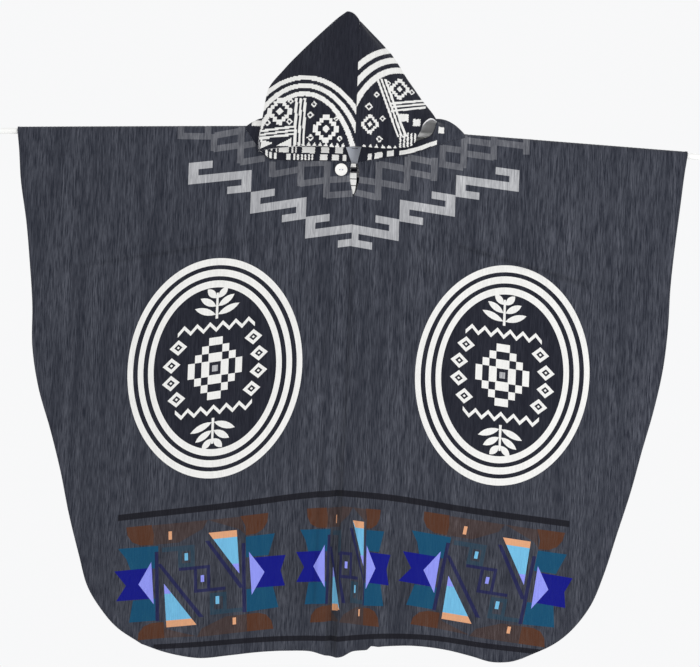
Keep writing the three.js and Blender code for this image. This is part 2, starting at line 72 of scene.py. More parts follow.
def new_object(name, data):
    """An object with that data, placed in the scene."""
    made = bpy.data.objects.new(name, data)
    bpy.context.scene.collection.objects.link(made)
    return made


camera = new_object("camera", bpy.data.cameras.new("camera"))
camera.data.sensor_width = SENSOR_WIDTH
camera.data.lens = CAMERA_DISTANCE / PICTURE_WIDTH * SENSOR_WIDTH
upright = Matrix.Rotation(math.radians(90), 4, "X") @ Matrix.Rotation(ROLL, 4, "Z")
camera.matrix_world = Matrix.Translation(AIM - Vector((0, CAMERA_DISTANCE, 0))) @ upright
bpy.context.scene.camera = camera
print("lens", round(camera.data.lens, 1), "mm")

# %% [markdown]
# Light
#
# Thick wool shows its folds only under light that comes from one side more than the other. A wide soft lamp
# stands in front, low on the right, and a weaker one high on the left. A third one behind the poncho lights
# its back, and a pale surround fills the rest.

# %% Light
LAMPS = [
    {"name": "key", "place": (1.6, -2.3, -0.95), "size": 1.2, "power": 27},
    {"name": "fill", "place": (-1.6, -2.8, 0.6), "size": 2.0, "power": 8},
    {"name": "back", "place": (1.5, 3.0, 0.6), "size": 2.0, "power": 30},
]
SURROUND = (0.95, 0.953, 0.96, 1)
SURROUND_STRENGTH = 0.985

for row in LAMPS:
    lamp = new_object(row["name"], bpy.data.lights.new(row["name"], "AREA"))
    lamp.data.energy = row["power"]
    lamp.data.size = row["size"]
    lamp.location = row["place"]
    lamp.rotation_euler = (AIM - lamp.location).to_track_quat("-Z", "Y").to_euler()
world = bpy.data.worlds.new("surround")
world.use_nodes = True
world.node_tree.nodes["Background"].inputs["Color"].default_value = SURROUND
world.node_tree.nodes["Background"].inputs["Strength"].default_value = SURROUND_STRENGTH
bpy.context.scene.world = world
bpy.context.scene.view_settings.view_transform = "Standard"
print(len(LAMPS), "lamps and a pale surround")

# %% [markdown]
# The sizes of the cloth
#
# The cloth is 2.2 mm thick and hangs over a thin rod whose two arms droop a little. These are the sizes
# that the frame was built from. Distances go outwards from the centre seam, and heights are measured from
# the middle of the rod. Values with names keep the same size in one place, so a change reaches every piece
# that needs it.

# %% Rod, cloth and hang
CLOTH = 2.2
SEAM_GAP = 0.3
SEAM_X = 5
ROD_RADIUS = 5.75
ROD_HALF_LENGTH = 710
ROD_DROOP = 0.042
ROD_BEND = 80
FOLD_RADIUS = ROD_RADIUS + 0.4 + CLOTH
FOLD_LENGTH = math.pi * FOLD_RADIUS
HEM_CENTRE_Z = -1020
THROAT_Z = -62
NAPE_Z = -28
NECK_SIDE = 212
SHOULDER_TIP = 650
HANG_SPREAD = 9
HANG_HEIGHT = 150
HEM_SPREAD = 5
BACK_INSET = 7
BACK_RISE = 6
print("the cloth is", CLOTH, "mm thick, and the fold over the rod takes", round(FOLD_LENGTH, 1), "mm of it")

# %% [markdown]
# The edges of the cloth
#
# A cutter marks the neckline, the side edges and the hem by a few points and joins them by a smooth curve.
# The tables hold such points. Left and right differ a little, as on the real one. The back edges lie a
# little further in and higher than the front ones, so both show where the cloth is seen from the side.

# %% Edges of the panels
NECKLINE = {
    "out": [6, 30, 60, 90, 120, 145, 167, 184, 199],
    "left": [-62, -61, -61.5, -62.5, -63, -63, -61, -44, -24],
    "right": [-62, -57, -51, -46, -38.5, -28, -20, -14, -9.5],
}
SIDE_EDGE = {
    "z": [-60, -120, -200, -280, -360, -440, -520, -600, -680, -760, -840, -900, -948, -978, -1007],
    "left": [645, 639, 625, 615, 607, 604, 589, 563, 540, 521, 498, 479, 447, 418, 371],
    "right": [645, 639, 631, 625, 623, 616, 601, 581, 562, 539, 516, 493, 459, 424, 365],
}
HEM = {
    "left": {
        "out": [13, 28, 50, 95, 150, 210, 260, 300, 337],
        "z": [-1018.5, -1014.5, -1009, -1010, -1015, -1023, -1029, -1026, -1019],
    },
    "right": {
        "out": [12, 31, 50, 60, 67, 80, 95, 150, 210, 260, 300, 337],
        "z": [-1017.5, -1006.5, -1003.5, -1002, -995, -996, -994.5, -992, -996.5, -1006, -1015.5, -1014],
    },
}
SLIT = {"z": [-62, -80, -98, -115, -128], "left": [6, 8, 7, 3, 0.15], "right": [6, 10, 10, 6, 0.15]}
print("the slit ends", THROAT_Z - SLIT["z"][-1], "mm below the throat")
print("the hem is marked by", sum(len(HEM[side]["out"]) for side in HEM), "points")

# %% [markdown]
# Folds and creases
#
# Heavy cloth that was stored folded keeps long, shallow lines, and beside the centre seam it sinks into a
# narrow valley. A fold that runs down the cloth is a row with its place, its width, how far it stands out,
# and the heights at which it starts and is full. A crease is a line from one point to another. Both only
# move the cloth in or out by a few millimetres, so they are added to its distance from the rod's plane
# instead of being simulated: a simulation would need minutes to find what the picture already shows.

# %% Tables of folds and creases
FOLDS = {
    "front": [
        (2, 8, -6, -120, -300),
        (-8, 7, -11, -400, -760),
        (7, 5, 5, -400, -760),
        (-55, 45, 2.5, -300, -900),
        (62, 42, 3, -300, -900),
        (-262, 80, 9, -560, -1000),
        (300, 75, 9, -540, -1000),
        (-135, 55, -3, -640, -1000),
        (150, 70, -3.5, -600, -1000),
        (-460, 70, 4, -300, -800),
        (470, 80, 3, -300, -800),
    ],
    "back": [
        (5, 20, -4, -120, -420),
        (-180, 80, 8, -480, -1000),
        (205, 85, 9, -520, -1000),
        (-350, 70, 5, -420, -950),
        (410, 80, 6, -400, -950),
    ],
}
CREASES = {
    "front": [
        {"start": (132, -196), "end": (530, -299), "width": 4.4, "depth": -5.4},
        {"start": (132, -184), "end": (530, -286), "width": 12, "depth": 2.8},
        {"start": (128, -207), "end": (161, -284), "width": 4.2, "depth": -4.2},
        {"start": (-134, -207), "end": (-597, -297), "width": 4.4, "depth": -4.8},
        {"start": (-134, -195), "end": (-597, -284), "width": 12, "depth": 2.4},
        {"start": (-20, -250), "end": (-60, -520), "width": 6, "depth": -3.6},
        {"start": (-42, -560), "end": (-46, -1010), "width": 6, "depth": -5.2},
        {"start": (34, -640), "end": (28, -1010), "width": 5, "depth": -4.0},
    ],
    "back": [
        {"start": (110, -190), "end": (560, -310), "width": 4.6, "depth": -5.0},
        {"start": (110, -178), "end": (560, -297), "width": 13, "depth": 2.0},
        {"start": (-120, -180), "end": (-520, -270), "width": 4.8, "depth": -4.6},
        {"start": (-80, -420), "end": (-330, -560), "width": 6, "depth": -4.0},
        {"start": (70, -480), "end": (300, -640), "width": 6, "depth": -4.2},
        {"start": (-30, -600), "end": (-44, -1000), "width": 6, "depth": -4.4},
    ],
}


CREASE_ENDS = 0.25


def ease(start, full, value):
    """A smooth step from 0 at start to 1 at full."""
    share = np.clip((value - start) / (full - start), 0, 1)
    return share * share * (3 - 2 * share)


def rod_z(x):
    """Height of the rod's axis."""
    return -ROD_DROOP * (np.sqrt(x * x + ROD_BEND**2) - ROD_BEND)


def crease_relief(crease, x, z):
    """A soft trough or ridge along a line that fades out at both ends."""
    (ax, az), (bx, bz) = crease["start"], crease["end"]
    length = math.hypot(bx - ax, bz - az)
    share = np.clip(((x - ax) * (bx - ax) + (z - az) * (bz - az)) / length**2, 0, 1)
    away = np.hypot(x - ax - share * (bx - ax), z - az - share * (bz - az))
    fade = ease(0, CREASE_ENDS, share) * ease(1, 1 - CREASE_ENDS, share)
    return crease["depth"] * fade * np.exp(-((away / crease["width"]) ** 2))


def stand_off(face, x, z):
    """Distance of the outer face from the rod's upright plane, at the front or the back."""
    drop = np.maximum(0, rod_z(x) - z)
    off = FOLD_RADIUS + HANG_SPREAD * (1 - np.exp(-drop / HANG_HEIGHT)) + HEM_SPREAD * drop / 1000
    for fold_x, width, stands_out, start, full in FOLDS[face]:
        off = off + stands_out * np.exp(-(((x - fold_x) / width) ** 2)) * ease(start, full, z)
    for crease in CREASES[face]:
        off = off + crease_relief(crease, x, z)
    return off


for face in FOLDS:
    print(face, "has", len(FOLDS[face]), "folds and", len(CREASES[face]), "creases")

# %% [markdown]
# One panel as a flat sheet
#
# A panel is front and back in one length of cloth. It is easiest to work on the sheet as the weaver sees
# it: out from the centre seam, and down from the fold. The length down the front counts up from 0 at the
# rod. The cloth over the rod and down the back counts below 0. One function then bends any point of the
# sheet into place, so the woven pattern can be laid out flat.

# %% From the sheet to the hanging cloth
SIGN = {"left": -1, "right": 1}


def sheet_down(side, out, z, face="front"):
    """Length down the sheet of a point at that height."""
    drop = rod_z(SEAM_X + SIGN[side] * out) - z
    return drop if face == "front" else -FOLD_LENGTH - drop


def hang(side, out, down):
    """Points of the outer face, in millimetres."""
    x = SEAM_X + SIGN[side] * out
    top = rod_z(x)
    front_z = top - np.maximum(down, 0)
    back_z = top - np.maximum(-FOLD_LENGTH - down, 0)
    angle = np.clip(-down / FOLD_RADIUS, 0, math.pi)
    y = np.where(down >= 0, -stand_off("front", x, front_z), -FOLD_RADIUS * np.cos(angle))
    y = np.where(down <= -FOLD_LENGTH, stand_off("back", x, back_z), y)
    z = np.where(down >= 0, front_z, top + FOLD_RADIUS * np.sin(angle))
    z = np.where(down <= -FOLD_LENGTH, back_z, z)
    return np.stack([x, y, z], axis=1)


def hang_normals(side, out, down, step=0.4):
    """Directions out of the outer face."""
    across = hang(side, out + step, down) - hang(side, out - step, down)
    along = hang(side, out, down + step) - hang(side, out, down - step)
    normal = -SIGN[side] * np.cross(across, along)
    return normal / np.linalg.norm(normal, axis=1, keepdims=True)


def smooth(points, step):
    """A curve through the points, with a corner about every step."""
    points = np.array(points, float)
    run = np.vstack([2 * points[0] - points[1], points, 2 * points[-1] - points[-2]])
    curve = [points[0]]
    for a, b, c, d in zip(run, run[1:], run[2:], run[3:]):
        sides = ((a, b), (b, c), (c, d))
        before, here, after = (math.sqrt(max(np.linalg.norm(q - p), 1e-6)) for p, q in sides)
        leave = ((b - a) / before - (c - a) / (before + here) + (c - b) / here) * here
        arrive = ((c - b) / here - (d - b) / (here + after) + (d - c) / after) * here
        count = max(1, round(np.linalg.norm(c - b) / step))
        for t in (np.arange(count) + 1) / count:
            bend = (2 * b - 2 * c + leave + arrive) * t**3 + (3 * c - 3 * b - 2 * leave - arrive) * t**2
            curve.append(b + leave * t + bend)
    return np.array(curve)


def spline(rows, places):
    """Rows of a table read at fractional places, with smooth steps between them."""
    rows = np.array(rows, float).reshape(len(rows), -1)
    padded = np.vstack([2 * rows[0] - rows[1], rows, 2 * rows[-1] - rows[-2]])
    index = np.clip(np.floor(places).astype(int), 0, len(rows) - 2)
    t = (places - index)[:, None]
    a, b, c, d = (padded[index + k] for k in range(4))
    return 0.5 * (2 * b + (c - a) * t + (2 * a - 5 * b + 4 * c - d) * t**2 + (3 * b - a - 3 * c + d) * t**3)


for down in (200.0, 0.0, -FOLD_LENGTH / 2, -FOLD_LENGTH - 200.0):
    place = hang("left", np.array([300.0]), np.array([down]))[0]
    print("a point", round(down, 1), "mm down the left sheet hangs at", [round(v, 1) for v in place.tolist()])

# %% [markdown]
# The outline of a panel
#
# The outline is what a cutter would mark on the flat cloth: up the centre seam, round the slit and the
# neckline, over the shoulder into the back neckline, down the back seam, along the back hem, up the back
# edge, over the shoulder's tip, and down the front edge to the rounded corner. The hood is sewn to the same
# neckline, so the neckline is kept as its own list of 25 points, and both pieces read it in the same steps.

# %% Neckline and outline
EDGE_STEP = 6
SLIT_STEP = 3
ARC_STEPS = 8
BACK_CHANGE = (-30, -400)
NECK_ARC_STEPS = 6
CHIN_COLUMNS = 150
BACK_COLUMNS = 96
NECK_MEETS = {"column": [6, 9, 15, 24], "place": [0, 3, 5.3, 8]}


def neck_corners(side):
    """The 25 corners of the neckline on the sheet, from the throat over the shoulder to the nape."""
    out = np.array(NECKLINE["out"], float)
    front = sheet_down(side, out, np.array(NECKLINE[side], float))
    shoulder = rod_z(SEAM_X + SIGN[side] * out)
    nape_z = NAPE_Z + (rod_z(SEAM_X + SIGN[side] * NECK_SIDE) - NAPE_Z) * (out / NECK_SIDE) ** 3
    back = -FOLD_LENGTH - (shoulder - nape_z)
    arc = [(NECK_SIDE, -FOLD_LENGTH * k / NECK_ARC_STEPS) for k in range(NECK_ARC_STEPS + 1)]
    return np.array([*zip(out, front), *arc, *zip(out[::-1], back[::-1])])


def neck_path(side):
    """The neckline in the steps of the hood: first along the chin strip, then behind the corner."""
    chin = np.linspace(0, NECK_MEETS["column"][0], CHIN_COLUMNS, endpoint=False)
    places = np.linspace(0, NECK_MEETS["place"][-1], BACK_COLUMNS + 1)
    columns = np.concatenate([chin, np.interp(places, NECK_MEETS["place"], NECK_MEETS["column"])])
    path = spline(neck_corners(side), columns)
    path[-1, 0] = SEAM_GAP / 2
    return path, columns


def side_edge(side, face):
    """The free edge of the sheet from the shoulder's tip round the corner to the centre of the hem."""
    back = face == "back"
    z = np.array(SIDE_EDGE["z"], float)
    change = ease(*BACK_CHANGE, z)
    out = np.array(SIDE_EDGE[side], float) - SIGN[side] * SEAM_X - (BACK_INSET * change if back else 0)
    z = z + (BACK_RISE * change if back else 0)
    rise = BACK_RISE if back else 0
    tip = SHOULDER_TIP - SIGN[side] * SEAM_X
    edge = smooth([(tip, rod_z(SEAM_X + SIGN[side] * tip)), *zip(out, z)], EDGE_STEP)
    low_edge = zip(HEM[side]["out"], np.array(HEM[side]["z"]) + rise)
    hem = [(SEAM_GAP / 2, HEM_CENTRE_Z + rise), *low_edge, (out[-1], z[-1])]
    whole = np.vstack([edge, smooth(hem, EDGE_STEP)[-2::-1]])
    return np.column_stack([whole[:, 0], sheet_down(side, whole[:, 0], whole[:, 1], face)])


def panel_outline(side):
    """All corners of the outline, and how many of them are free edge, from the front hem to the back hem."""
    front = side_edge(side, "front")[::-1]
    back = side_edge(side, "back")
    tip = [(front[-1, 0], -FOLD_LENGTH * k / ARC_STEPS) for k in range(1, ARC_STEPS)]
    free = np.vstack([front, tip, back])
    nape_down = sheet_down(side, SEAM_GAP / 2, NAPE_Z, "back")
    seam_down = np.arange(back[-1, 1] + EDGE_STEP, nape_down - EDGE_STEP / 2, EDGE_STEP)
    seam = [(SEAM_GAP / 2, d) for d in seam_down]
    neck = neck_path(side)[0][::-1]
    slit = smooth(list(zip(SLIT[side], SLIT["z"])), SLIT_STEP)[1:]
    opening = np.column_stack([slit[:, 0], sheet_down(side, slit[:, 0], slit[:, 1])])
    centre_down = np.arange(opening[-1, 1] + EDGE_STEP, front[0, 1] - EDGE_STEP / 2, EDGE_STEP)
    centre = [(SEAM_GAP / 2, d) for d in centre_down]
    return np.vstack([free, seam, neck, opening, centre]), len(free)


for side in SIGN:
    outline, free = panel_outline(side)
    print(side, "panel:", len(outline), "corners,", free, "of them on the free edge")

# %% [markdown]
# The colours of the wool
#
# The cloth is woven double: where the face shows dark wool the reverse shows pale wool, and the pattern
# swaps them. Heathered wool is spun from fibres of two tones, so each yarn has a colour, a fleck and the
# share of the streaks. A table of numbers is easier to tune beside a render than a row of hand-made
# materials.

# %% Yarns
YARN = {
    "ground": {"colour": (0.013, 0.0155, 0.025), "fleck": (0.115, 0.122, 0.150), "streak": 0.78},
    "night": {"colour": (0.007, 0.008, 0.015), "fleck": (0.042, 0.045, 0.062), "streak": 0.60},
    "white": {"colour": (0.78, 0.775, 0.755), "fleck": (0.47, 0.47, 0.46), "streak": 0.40},
    "pale": {"colour": (0.275, 0.278, 0.295), "fleck": (0.64, 0.645, 0.66), "streak": 0.8},
    "dim": {"colour": (0.066, 0.069, 0.084), "fleck": (0.25, 0.255, 0.275), "streak": 0.8},
    "reverse": {"colour": (0.70, 0.70, 0.71), "fleck": (0.83, 0.83, 0.82), "streak": 0.6},
    "brown": {"colour": (0.068, 0.022, 0.009), "fleck": (0.098, 0.060, 0.047), "streak": 0.7},
    "rust": {"colour": (0.032, 0.019, 0.018), "fleck": (0.110, 0.088, 0.090), "streak": 0.75},
    "dusk": {"colour": (0.010, 0.032, 0.055), "fleck": (0.075, 0.095, 0.125), "streak": 0.7},
    "navy": {"colour": (0.007, 0.008, 0.050), "fleck": (0.045, 0.050, 0.120), "streak": 0.6},
    "teal": {"colour": (0.002, 0.054, 0.120), "fleck": (0.012, 0.082, 0.145), "streak": 0.65},
    "blue": {"colour": (0.001, 0.003, 0.175), "fleck": (0.010, 0.014, 0.190), "streak": 0.55},
    "sky": {"colour": (0.150, 0.440, 0.660), "fleck": (0.100, 0.290, 0.480), "streak": 0.7},
    "lilac": {"colour": (0.250, 0.275, 0.780), "fleck": (0.150, 0.160, 0.560), "streak": 0.6},
    "peach": {"colour": (0.650, 0.320, 0.170), "fleck": (0.420, 0.230, 0.150), "streak": 0.5},
    "black": {"colour": (0.005, 0.005, 0.009), "fleck": (0.024, 0.025, 0.034), "streak": 0.5},
}
NAMES = list(YARN)
REVERSE_OF = {"ground": "reverse", "night": "reverse", "white": "night", "pale": "ground", "dim": "ground"}
print(len(NAMES), "yarns,", len(REVERSE_OF), "of them with another yarn on the reverse")

# %% [markdown]
# Building blocks of a material
#
# A material is a small network of shader nodes. Helpers add what all of them need: a node with its values,
# a noise, more contrast, and a sum or product. Along the warp run fine streaks of lighter and darker fibre,
# and a wide noise makes the long cloudy stripes of heather. The streaks run down the cloth and over the
# rod, so the noise is stretched along Z and Y. A product of two waves is the over and under of a plain
# weave.

# %% Nodes, noise and weave
WARP_LINES = (520.0, 38.0, 38.0)
CLOUD_LINES = (38.0, 2.6, 2.6)
WEAVE_PITCH = 0.0016
NOISE_ROUGHNESS = 0.6


def node(tree, kind, **values):
    """Adds a shader node and sets its named inputs."""
    made = tree.nodes.new(kind)
    for name, value in values.items():
        made.inputs[name.replace("_", " ")].default_value = value
    return made


def stretched_noise(tree, coordinates, lines, detail):
    """Noise drawn out along the warp."""
    mapping = node(tree, "ShaderNodeMapping", Scale=lines)
    tree.links.new(coordinates, mapping.inputs["Vector"])
    noise = node(tree, "ShaderNodeTexNoise", Scale=1.0, Detail=detail, Roughness=NOISE_ROUGHNESS)
    tree.links.new(mapping.outputs["Vector"], noise.inputs["Vector"])
    return noise.outputs["Fac"]


def contrast(tree, value, low, high):
    """Stretches the middle of a noise to the full range."""
    ramp = node(tree, "ShaderNodeMapRange", From_Min=low, From_Max=high)
    tree.links.new(value, ramp.inputs["Value"])
    return ramp.outputs["Result"]


def math_node(tree, operation, first, second):
    """A sum, product or other step between two values, each a socket or a number."""
    made = tree.nodes.new("ShaderNodeMath")
    made.operation = operation
    for socket, value in zip(made.inputs, (first, second)):
        if isinstance(value, (int, float)):
            socket.default_value = value
        else:
            tree.links.new(value, socket)
    return made.outputs["Value"]


def weave_height(tree, coordinates):
    """Over and under of a plain weave, as a height."""
    split = tree.nodes.new("ShaderNodeSeparateXYZ")
    tree.links.new(coordinates, split.inputs["Vector"])
    turns = 2 * math.pi / WEAVE_PITCH
    warp = math_node(tree, "SINE", math_node(tree, "MULTIPLY", split.outputs["X"], turns), 0.0)
    weft = math_node(tree, "SINE", math_node(tree, "MULTIPLY", split.outputs["Z"], turns), 0.0)
    return math_node(tree, "MULTIPLY", warp, weft)


print("a streak is about", round(1000 / WARP_LINES[0], 1), "by", round(1000 / WARP_LINES[2]), "mm")

# %% [markdown]
# Two tones and a relief
#
# Every material of this poncho is made in the same way: a shader, two near tones that a noise mixes, and a
# height that roughens the surface. Three helpers do that, so the wool and the small parts differ only in
# their numbers and in their noise.

# %% Tones and relief
def new_material(name, roughness):
    """A material with its shader, and where on the object a point lies."""
    material = bpy.data.materials.new(name)
    material.use_nodes = True
    tree = material.node_tree
    shader = tree.nodes["Principled BSDF"]
    shader.inputs["Roughness"].default_value = roughness
    return material, tree, shader, tree.nodes.new("ShaderNodeTexCoord").outputs["Object"]


def two_tones(tree, shader, first, second, share):
    """Colours the surface with two tones, of which the second has that share."""
    mix = node(tree, "ShaderNodeMix")
    mix.data_type = "RGBA"
    mix.inputs["A"].default_value = (*first, 1)
    mix.inputs["B"].default_value = (*second, 1)
    tree.links.new(share, mix.inputs["Factor"])
    tree.links.new(mix.outputs["Result"], shader.inputs["Base Color"])


def relief(tree, shader, height, strength, distance):
    """Roughens the surface by a height."""
    bump = node(tree, "ShaderNodeBump", Strength=strength, Distance=distance)
    tree.links.new(height, bump.inputs["Height"])
    tree.links.new(bump.outputs["Normal"], shader.inputs["Normal"])


print("the weave repeats every", round(WEAVE_PITCH / MM, 1), "mm")

# %% [markdown]
# Wool as a material
#
# Every yarn is its own material, made by one function. Wool is matt, with a trace of sheen from its loose
# fibres. The streaks and the clouds together decide how much of the fleck shows, and the same streaks with
# the weave roughen the surface a little.

# %% Woven wool
WOOL_ROUGHNESS = 0.93
WOOL_SPECULAR = 0.18
SHEEN = {"weight": 0.12, "roughness": 0.45}
STREAK_RANGE = (0.34, 0.68)
CLOUD_RANGE = (0.30, 0.75)
CLOUD_SHARE = 0.7
WEAVE_HEIGHT = 0.00025
WEAVE_STRENGTH = 0.55
STREAK_HEIGHT = 1.5


def wool(name):
    """Material of one yarn of the double cloth."""
    yarn = YARN[name]
    material, tree, shader, place = new_material("wool_" + name, WOOL_ROUGHNESS)
    shader.inputs["Specular IOR Level"].default_value = WOOL_SPECULAR
    shader.inputs["Sheen Weight"].default_value = SHEEN["weight"]
    shader.inputs["Sheen Roughness"].default_value = SHEEN["roughness"]
    warp = contrast(tree, stretched_noise(tree, place, WARP_LINES, 3.0), *STREAK_RANGE)
    cloud = contrast(tree, stretched_noise(tree, place, CLOUD_LINES, 2.0), *CLOUD_RANGE)
    clouded = math_node(tree, "ADD", math_node(tree, "MULTIPLY", cloud, CLOUD_SHARE), 1 - CLOUD_SHARE)
    share = math_node(tree, "MULTIPLY", math_node(tree, "MULTIPLY", warp, clouded), yarn["streak"])
    two_tones(tree, shader, yarn["colour"], yarn["fleck"], share)
    streaks = math_node(tree, "MULTIPLY", warp, STREAK_HEIGHT)
    height = math_node(tree, "ADD", weave_height(tree, place), streaks)
    relief(tree, shader, height, WEAVE_STRENGTH, WEAVE_HEIGHT)
    return material


WOOL = [wool(name) for name in NAMES]
print(len(WOOL), "materials of wool")

# %% [markdown]
# Pattern shapes
#
# The weaver's chart is a list of closed shapes, each with the colour of its yarn. A later shape covers an
# earlier one, so a ring is a white oval with a smaller dark oval on it. Each shape is placed on the sheet
# by its distance from the centre seam and its height. The weft sinks outwards on both sides, so a motif is
# also sheared by that slope.

# %% Shapes
OVAL_CORNERS = 96


def oval(centre, half, slope=0.0):
    """An oval round a centre (out, z), sheared by the slope of the weft."""
    turn = np.linspace(0, 2 * math.pi, OVAL_CORNERS, endpoint=False)
    out = half[0] * np.cos(turn)
    return np.column_stack([centre[0] + out, centre[1] + half[1] * np.sin(turn) - slope * out])


def shape(centre, corners, slope=0.0):
    """A shape with straight sides round a centre, sheared by the slope of the weft."""
    corners = np.array(corners, float)
    return np.column_stack([centre[0] + corners[:, 0], centre[1] + corners[:, 1] - slope * corners[:, 0]])


def block(low_out, low_z, high_out, high_z):
    """The corners of a rectangle."""
    return [(low_out, low_z), (high_out, low_z), (high_out, high_z), (low_out, high_z)]


def inside(loop, points):
    """Which points lie inside a closed loop."""
    x, y = points[:, 0], points[:, 1]
    hit = np.zeros(len(points), bool)
    for (ax, ay), (bx, by) in zip(loop, np.roll(loop, -1, axis=0)):
        if ay != by:
            hit ^= ((ay > y) != (by > y)) & (x < ax + (y - ay) / (by - ay) * (bx - ax))
    return hit


def paint(shapes, points, ground):
    """The colour number of each point."""
    colour = np.full(len(points), NAMES.index(ground))
    for name, loop in shapes:
        near = np.all((points >= loop.min(0)) & (points <= loop.max(0)), axis=1).nonzero()[0]
        colour[near[inside(loop, points[near])]] = NAMES.index(name)
    return colour


def three_rings(centre, half, pitch, width, lean=0.0):
    """Three rings inside each other: each is a white oval with a smaller dark one on it."""
    rings = []
    for ring in range(3):
        outer = [h - ring * p for h, p in zip(half, pitch)]
        inner = [h - w for h, w in zip(outer, width)]
        rings += [("white", oval(centre, outer, lean)), ("night", oval(centre, inner, lean))]
    return rings


print("an oval has", len(oval((0, 0), (1, 1))), "corners and a block has", len(block(0, 0, 1, 1)))

# %% [markdown]
# Motifs of the ovals
#
# The picture inside the rings is a design of this script's own. It is put together from a few simple
# outlines: a diamond, a diamond with stepped sides, a zigzag, and a sprig of leaves. Each function works
# round its own centre, so the same motif can be placed often.

# %% Motifs
def diamond(width, height):
    """A diamond round the centre."""
    return [(-width, 0), (0, -height), (width, 0), (0, height)]


def stepped(width, height, steps):
    """A diamond with stepped sides."""
    corner = []
    for k in range(steps):
        out = width * (1 - k / steps)
        corner += [(out, height * k / steps), (out, height * (k + 1) / steps)]
    top = corner + [(-x, z) for x, z in corner[::-1]]
    return top + [(x, -z) for x, z in top[::-1]]


def zigzag(half_width, teeth, rise, thick):
    """A band that goes up and down."""
    x = np.linspace(-half_width, half_width, 2 * teeth + 1)
    z = np.where(np.arange(len(x)) % 2, rise, 0.0)
    return [*zip(x, z), *zip(x[::-1], z[::-1] + thick)]


def leaf(turn, length, width):
    """A pointed leaf from the centre in one direction."""
    along = np.linspace(0, 1, 7)
    half = width * np.sin(math.pi * along) ** 0.8
    tip = [*zip(length * along, half), *zip(length * along[-2:0:-1], -half[-2:0:-1])]
    c, s = math.cos(math.radians(turn)), math.sin(math.radians(turn))
    return [(x * c - z * s, x * s + z * c) for x, z in tip]


def sprig(way):
    """A stem with three pairs of leaves, upwards where way is 1 and downwards where it is -1."""
    parts = [[(-2.5, 0), (2.5, 0), (2.0, 50 * way), (-2.0, 50 * way)]]
    for height, length, turn in ((8, 44, 22), (24, 36, 32), (40, 26, 48)):
        for mirror in (1, -1):
            blade = leaf(turn * way, length, 6.5)
            parts.append([(mirror * (x + 2), z + height * way) for x, z in blade])
    return parts


print("a stepped diamond of four steps has", len(stepped(52, 60, 4)), "corners")
print("a sprig has", len(sprig(1)), "parts")

# %% [markdown]
# The two big ovals
#
# Three plain white rings stand round a dark field. Inside them lie a stepped diamond with a small square in
# the middle, zigzags above and below, columns of small diamonds, and a sprig at the top and at the bottom.
# They have the scale and the share of white that such a woven oval has.

# %% Ovals
OVAL = {
    "left": {"centre": (254.5, -470), "slope": 0.19, "lean": 0.069},
    "right": {"centre": (301, -463), "slope": 0.11, "lean": -0.02},
}
OVAL_HALF = (168.5, 213)
RING_PITCH = (19.8, 21.5)
RING_WIDTH = (10.8, 13.5)


def oval_field(place):
    """What is woven inside the rings, as shapes round the centre."""
    field = []

    def add(name, corners, dx=0.0, dz=0.0):
        field.append((name, [(x + dx, z + dz) for x, z in corners]))

    add("white", stepped(52, 60, 4))
    add("night", stepped(39, 45, 3))
    add("white", stepped(26, 30, 2))
    add("night", block(-11, -12.5, 11, 12.5))
    add("pale", block(-5.5, -6, 5.5, 6))
    for mirror in (1, -1):
        for dz in (-50, -17, 17, 50):
            reach = 84 if abs(dz) < 40 else 72
            add("white", diamond(17, 15), mirror * reach, dz)
            add("night", diamond(8, 7), mirror * reach, dz)
            add("white", diamond(3, 2.6), mirror * reach, dz)
        add("white", zigzag(74, 6, 13 * mirror, 8), 0, 74 * mirror - 4)
        for parts in sprig(mirror):
            add("white", parts, 0, 96 * mirror)
    return [(name, shape(place["centre"], corners, place["slope"])) for name, corners in field]


def oval_shapes(side):
    """Rings and field of one oval."""
    place = OVAL[side]
    return three_rings(place["centre"], OVAL_HALF, RING_PITCH, RING_WIDTH, place["lean"]) + oval_field(place)


print("each oval is made of", len(oval_shapes("left")), "shapes")

# %% [markdown]
# The yoke
#
# Step frets run down in a V from the shoulders to the end of the slit: three bright hooked bars on each
# side, and above them a dimmer chain of open squares. Both are common woven borders. One hook is charted
# once, as five blocks with named widths, and each copy gets its own corner and the slope of the weft at its
# place.

# %% Step frets
FRET_ROWS = {"arm": 14, "gap": 12, "bar": 16}
FRET_POST = 19
FRET_ARM = 46
FRETS = {
    "left": [(320, 198, -75, 0.14), (198, 90, -127, 0.19), (90, -20, -171, 0.17)],
    "right": [(320, 198, -65, 0.10), (198, 91, -118, 0.125), (91, -6, -169, 0.14)],
}
CHAIN_LINE = 12.5
CHAIN = {
    "left": [
        (-333, 0, -333, -29), (-333, -23, -281, -22), (-281, 0, -281, -28), (-268, -17, -268, -50),
        (-268, -20, -214, -8), (-268, -46, -214, -36), (-216, 0, -216, -72), (-216, -38, -187, -32),
        (-216, -70, -168, -60), (-153, -66, -153, -96), (-153, -91, -104, -80), (-98, -64, -98, -112),
        (-98, -68, -47, -64), (-98, -107, -47, -98), (-47, -62, -47, -132), (-47, -98, 5, -93),
        (-47, -128, 5, -122),
    ],
    "right": [
        (5, -94, 53, -99), (5, -119, 53, -128), (53, -59, 53, -133), (53, -63, 108, -71),
        (53, -99, 112, -107), (108, -47, 108, -110), (108, -48, 160, -56), (108, -76, 160, -84),
        (160, -47, 160, -92), (175, -22, 175, -65), (175, -27, 216, -31), (175, -59, 216, -64),
        (216, 0, 216, -65), (216, -10, 274, -16), (216, -36, 274, -42),
        (274, 0, 274, -46), (274, -12, 340, -18), (337, 0, 337, -34),
    ],
}


